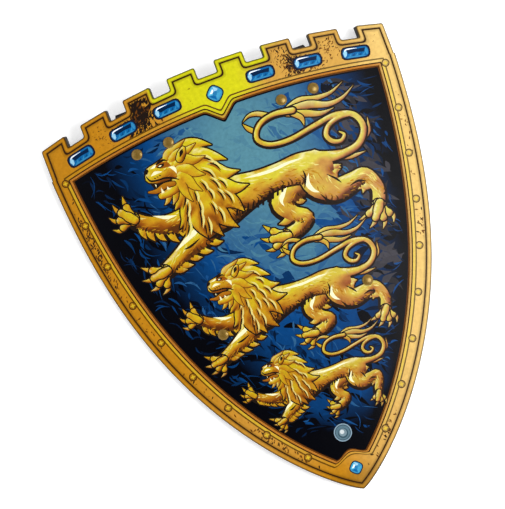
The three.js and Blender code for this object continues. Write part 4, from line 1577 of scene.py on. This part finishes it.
class SHIELD_OT_stage(bpy.types.Operator):
    """Add the floor, the lights and the camera"""
    bl_idname = "shield.stage"
    bl_label = "Stage"

    def execute(self, context):
        size, paint = settings(context)
        scene = context.scene
        corners = [(x * FLOOR_HALF, y * FLOOR_HALF, 0) for x, y in ((-1, -1), (1, -1), (1, 1), (-1, 1))]
        mesh = bpy.data.meshes.new("floor")
        mesh.from_pydata(corners, [], [(0, 1, 2, 3)])
        mesh.materials.append(floor_material(paint))
        floor = bpy.data.objects.new("floor", mesh)
        scene.collection.objects.link(floor)
        self.add_camera(scene, size)
        self.add_room(scene)
        self.add_lights(scene)
        return {"FINISHED"}

    def add_camera(self, scene, size):
        """Camera square to the face, rolled, and laid down with the shield."""
        lay = Matrix.Translation(resting_place(size)) @ Matrix.Rotation(size.lying_tilt, 4, "X")
        right = Vector((math.cos(CAMERA_ROLL), -math.sin(CAMERA_ROLL), 0.0))
        up = Vector((math.sin(CAMERA_ROLL), math.cos(CAMERA_ROLL), 0.0))
        pose = Matrix((right, up, right.cross(up))).transposed().to_4x4()
        pose.translation = MM * Vector((*CAMERA_AIM, CAMERA_DISTANCE))
        data = bpy.data.cameras.new("camera")
        data.sensor_width = SENSOR_WIDTH
        data.lens = SENSOR_WIDTH * CAMERA_DISTANCE / VIEW_HEIGHT
        data.clip_end = CLIP_END
        camera = bpy.data.objects.new("camera", data)
        camera.matrix_world = lay @ pose
        scene.collection.objects.link(camera)
        scene.camera = camera

    def add_room(self, scene):
        """Room with pale walls and a dim ceiling."""
        world = bpy.data.worlds.new("studio")
        world.use_nodes = True
        tree = world.node_tree
        around = add_node(tree, "ShaderNodeTexCoord")["Generated"]
        way = add_node(tree, "ShaderNodeSeparateXYZ", {0: around})
        strength = add_node(tree, "ShaderNodeMapRange", {**ROOM_LIGHT, "Value": way["Z"]})[0]
        fill(tree, tree.nodes["Background"], {"Color": (1.0, 1.0, 1.0, 1.0), "Strength": strength})
        scene.world = world
        scene.view_settings.view_transform = "Standard"

    def add_lights(self, scene):
        """A key light on the right of the picture, and two weak ones."""
        for name, turn, height, reach, power in LIGHTS:
            turn, height = math.radians(turn), math.radians(height)
            level = Vector((math.cos(turn), math.sin(turn), 0.0)) * math.cos(height)
            data = bpy.data.lights.new(name, "AREA")
            data.shape = "DISK"
            data.size = reach
            data.energy = power
            light = bpy.data.objects.new(name, data)
            light.location = LIGHT_DISTANCE * (level + Vector((0.0, 0.0, math.sin(height))))
            light.rotation_euler = (-light.location).to_track_quat("-Z", "Y").to_euler()
            scene.collection.objects.link(light)


class SHIELD_OT_sheet(bpy.types.Operator):
    """Build the bowed foam sheet with its printed face"""
    bl_idname = "shield.sheet"
    bl_label = "Printed foam sheet"

    def execute(self, context):
        size, paint = settings(context)
        piece = bowed_piece(context, "printed_foam_sheet", sheet_mesh(size, paint),
                            foam_material(paint, "foam_core"), print_material())
        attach(piece, ROOT)
        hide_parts(BODY_NODE)
        return {"FINISHED"}


class SHIELD_OT_rivets(bpy.types.Operator):
    """Set the rivets through the foam and the straps"""
    bl_idname = "shield.rivets"
    bl_label = "Rivets"

    def execute(self, context):
        size, paint = settings(context)
        pattern = bpy.data.objects.new("rivet_pattern", self.rivet_mesh(size))
        points = bpy.data.meshes.new("rivet_points")
        points.from_pydata([(x * MM, y * MM, 0.0) for x, y in rivet_places(size)], [], [])
        piece = bowed_piece(context, "rivets", points, rivet_material(paint), pattern=pattern)
        bpy.data.objects.remove(pattern)
        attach(piece, ROOT)
        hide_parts(*RIVET_NODES)
        return {"FINISHED"}

    def rivet_mesh(self, size, sides=32, dome_steps=8):
        """One rivet turned about its axis: cap, shank and domed head."""
        cap = -(size.foam_thickness + size.strap_standoff + size.strap_thickness
                + 2 * size.rivet_clearance)
        cap_radius, shank_radius = size.rivet_cap_radius, size.rivet_shank_radius
        seat = 0.05
        rim = 0.6
        profile = [(radius, cap - share * size.rivet_cap_height)
                   for radius, share in ((0.0, 1.0), (cap_radius - rim, 1.0), (cap_radius - 0.15, 0.7),
                                         (cap_radius, 0.3), (cap_radius, 0.0), (shank_radius, 0.0))]
        profile += [(shank_radius, seat), (size.rivet_head_radius - 0.2, seat)]
        for step in range(dome_steps + 1):
            a = math.pi / 2 * step / dome_steps
            profile.append((size.rivet_head_radius * math.cos(a),
                            seat + rim + (size.rivet_head_height - rim) * math.sin(a)))
        return turned_mesh("rivet_pattern", profile, sides)


def turned_mesh(name, profile, sides):
    """Closed mesh of a profile of radius and height that starts and ends on the axis."""
    places = [(0.0, 0.0, profile[0][1] * MM)]
    rings = []
    for radius, height in profile[1:-1]:
        rings.append(list(range(len(places), len(places) + sides)))
        for k in range(sides):
            a = 2 * math.pi * k / sides
            places.append((radius * math.cos(a) * MM, radius * math.sin(a) * MM, height * MM))
    places.append((0.0, 0.0, profile[-1][1] * MM))
    last = len(places) - 1
    faces = []
    for k in range(sides):
        n = (k + 1) % sides
        faces.append((0, rings[0][n], rings[0][k]))
        for low, high in zip(rings, rings[1:]):
            faces.append((low[k], low[n], high[n], high[k]))
        faces.append((last, rings[-1][k], rings[-1][n]))
    mesh = bpy.data.meshes.new(name)
    mesh.from_pydata(places, [], faces)
    return mesh


class SHIELD_OT_straps(bpy.types.Operator):
    """Build the two arm straps behind the shield"""
    bl_idname = "shield.straps"
    bl_label = "Arm straps"

    def execute(self, context):
        size, paint = settings(context)
        finish = foam_material(paint, "strap_foam")
        for side, node in STRAP_NODES.items():
            piece = bowed_piece(context, node + "_soft", self.strap_mesh(size, side), finish)
            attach(piece, ROOT)
            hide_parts(node)
        return {"FINISHED"}

    def half_at(self, size, y):
        """Half width of a strap: a broad pad above, a taper, and a round foot."""
        top, foot = size.strap_top_width / 2, size.strap_foot_width / 2
        share = float(share_of(y, size.strap_foot_y, size.strap_pad_y))
        half = foot + (top - foot) * share * share * (3 - 2 * share)
        if y < size.strap_foot_y + foot:
            lift = (size.strap_foot_y + foot - y) / foot
            half = min(half, foot * math.sqrt(max(0.0, 1 - lift * lift)))
        past = y - (size.strap_top_y - STRAP_CORNER)
        if past > 0:
            half -= 0.35 * past ** 2 / STRAP_CORNER
        return half

    def strap_mesh(self, size, side, rows=120):
        """Flat band in a frame on the sheet, with softened edges."""
        places, rings = [], []
        for row in range(rows + 1):
            t = row / rows
            up = t if t > 0.5 else 2 * t * t
            y = size.strap_foot_y + (size.strap_top_y - size.strap_foot_y) * up
            along = (y - size.strap_bow_from_y) / (size.strap_bow_to_y - size.strap_bow_from_y)
            swell = math.sin(math.pi * along) ** 2 if 0 < along < 1 else 0.0
            near = -size.foam_thickness - size.strap_standoff - size.strap_bow * swell
            far = near - size.strap_thickness
            half = max(self.half_at(size, y), 0.3)
            edge = min(STRAP_SOFTNESS, 0.6 * half)
            across = (-half + edge, -half * 0.4, half * 0.4, half - edge)
            section = [*((x, near) for x in across), (half, near - edge), (half, far + edge),
                       *((x, far) for x in reversed(across)), (-half, far + edge), (-half, near - edge)]
            rings.append(list(range(len(places), len(places) + len(section))))
            places += [((side * size.strap_x + x) * MM, y * MM, z * MM) for x, z in section]
        faces = []
        count = len(rings[0])
        for low, high in zip(rings, rings[1:]):
            for k in range(count):
                n = (k + 1) % count
                faces.append((low[k], low[n], high[n], high[k]))
        faces.append(tuple(reversed(rings[0])))
        faces.append(tuple(rings[-1]))
        mesh = bpy.data.meshes.new("strap_flat")
        mesh.from_pydata(places, [], faces)
        return mesh


class SHIELD_PT_panel(bpy.types.Panel):
    """Sizes, colours and steps of the shield"""
    bl_idname = "SHIELD_PT_panel"
    bl_label = "Foam heater shield"
    bl_space_type = "VIEW_3D"
    bl_region_type = "UI"
    bl_category = "Shield"

    def draw(self, context):
        for operator in OPERATORS:
            self.layout.operator(operator.bl_idname)
        for group in (context.scene.shield_sizes, context.scene.shield_colours):
            column = self.layout.column()
            for name in group.__annotations__:
                column.prop(group, name)


OPERATORS = (SHIELD_OT_stage, SHIELD_OT_sheet, SHIELD_OT_rivets, SHIELD_OT_straps)
CLASSES = (ShieldSizes, ShieldColours, *OPERATORS, SHIELD_PT_panel)


def register():
    for cls in CLASSES:
        bpy.utils.register_class(cls)
    bpy.types.Scene.shield_sizes = bpy.props.PointerProperty(type=ShieldSizes)
    bpy.types.Scene.shield_colours = bpy.props.PointerProperty(type=ShieldColours)


def unregister():
    del bpy.types.Scene.shield_colours
    del bpy.types.Scene.shield_sizes
    for cls in reversed(CLASSES):
        bpy.utils.unregister_class(cls)


def main():
    register()
    bpy.ops.shield.stage()
    bpy.ops.shield.sheet()
    bpy.ops.shield.rivets()
    bpy.ops.shield.straps()


if __name__ == "__main__":
    main()
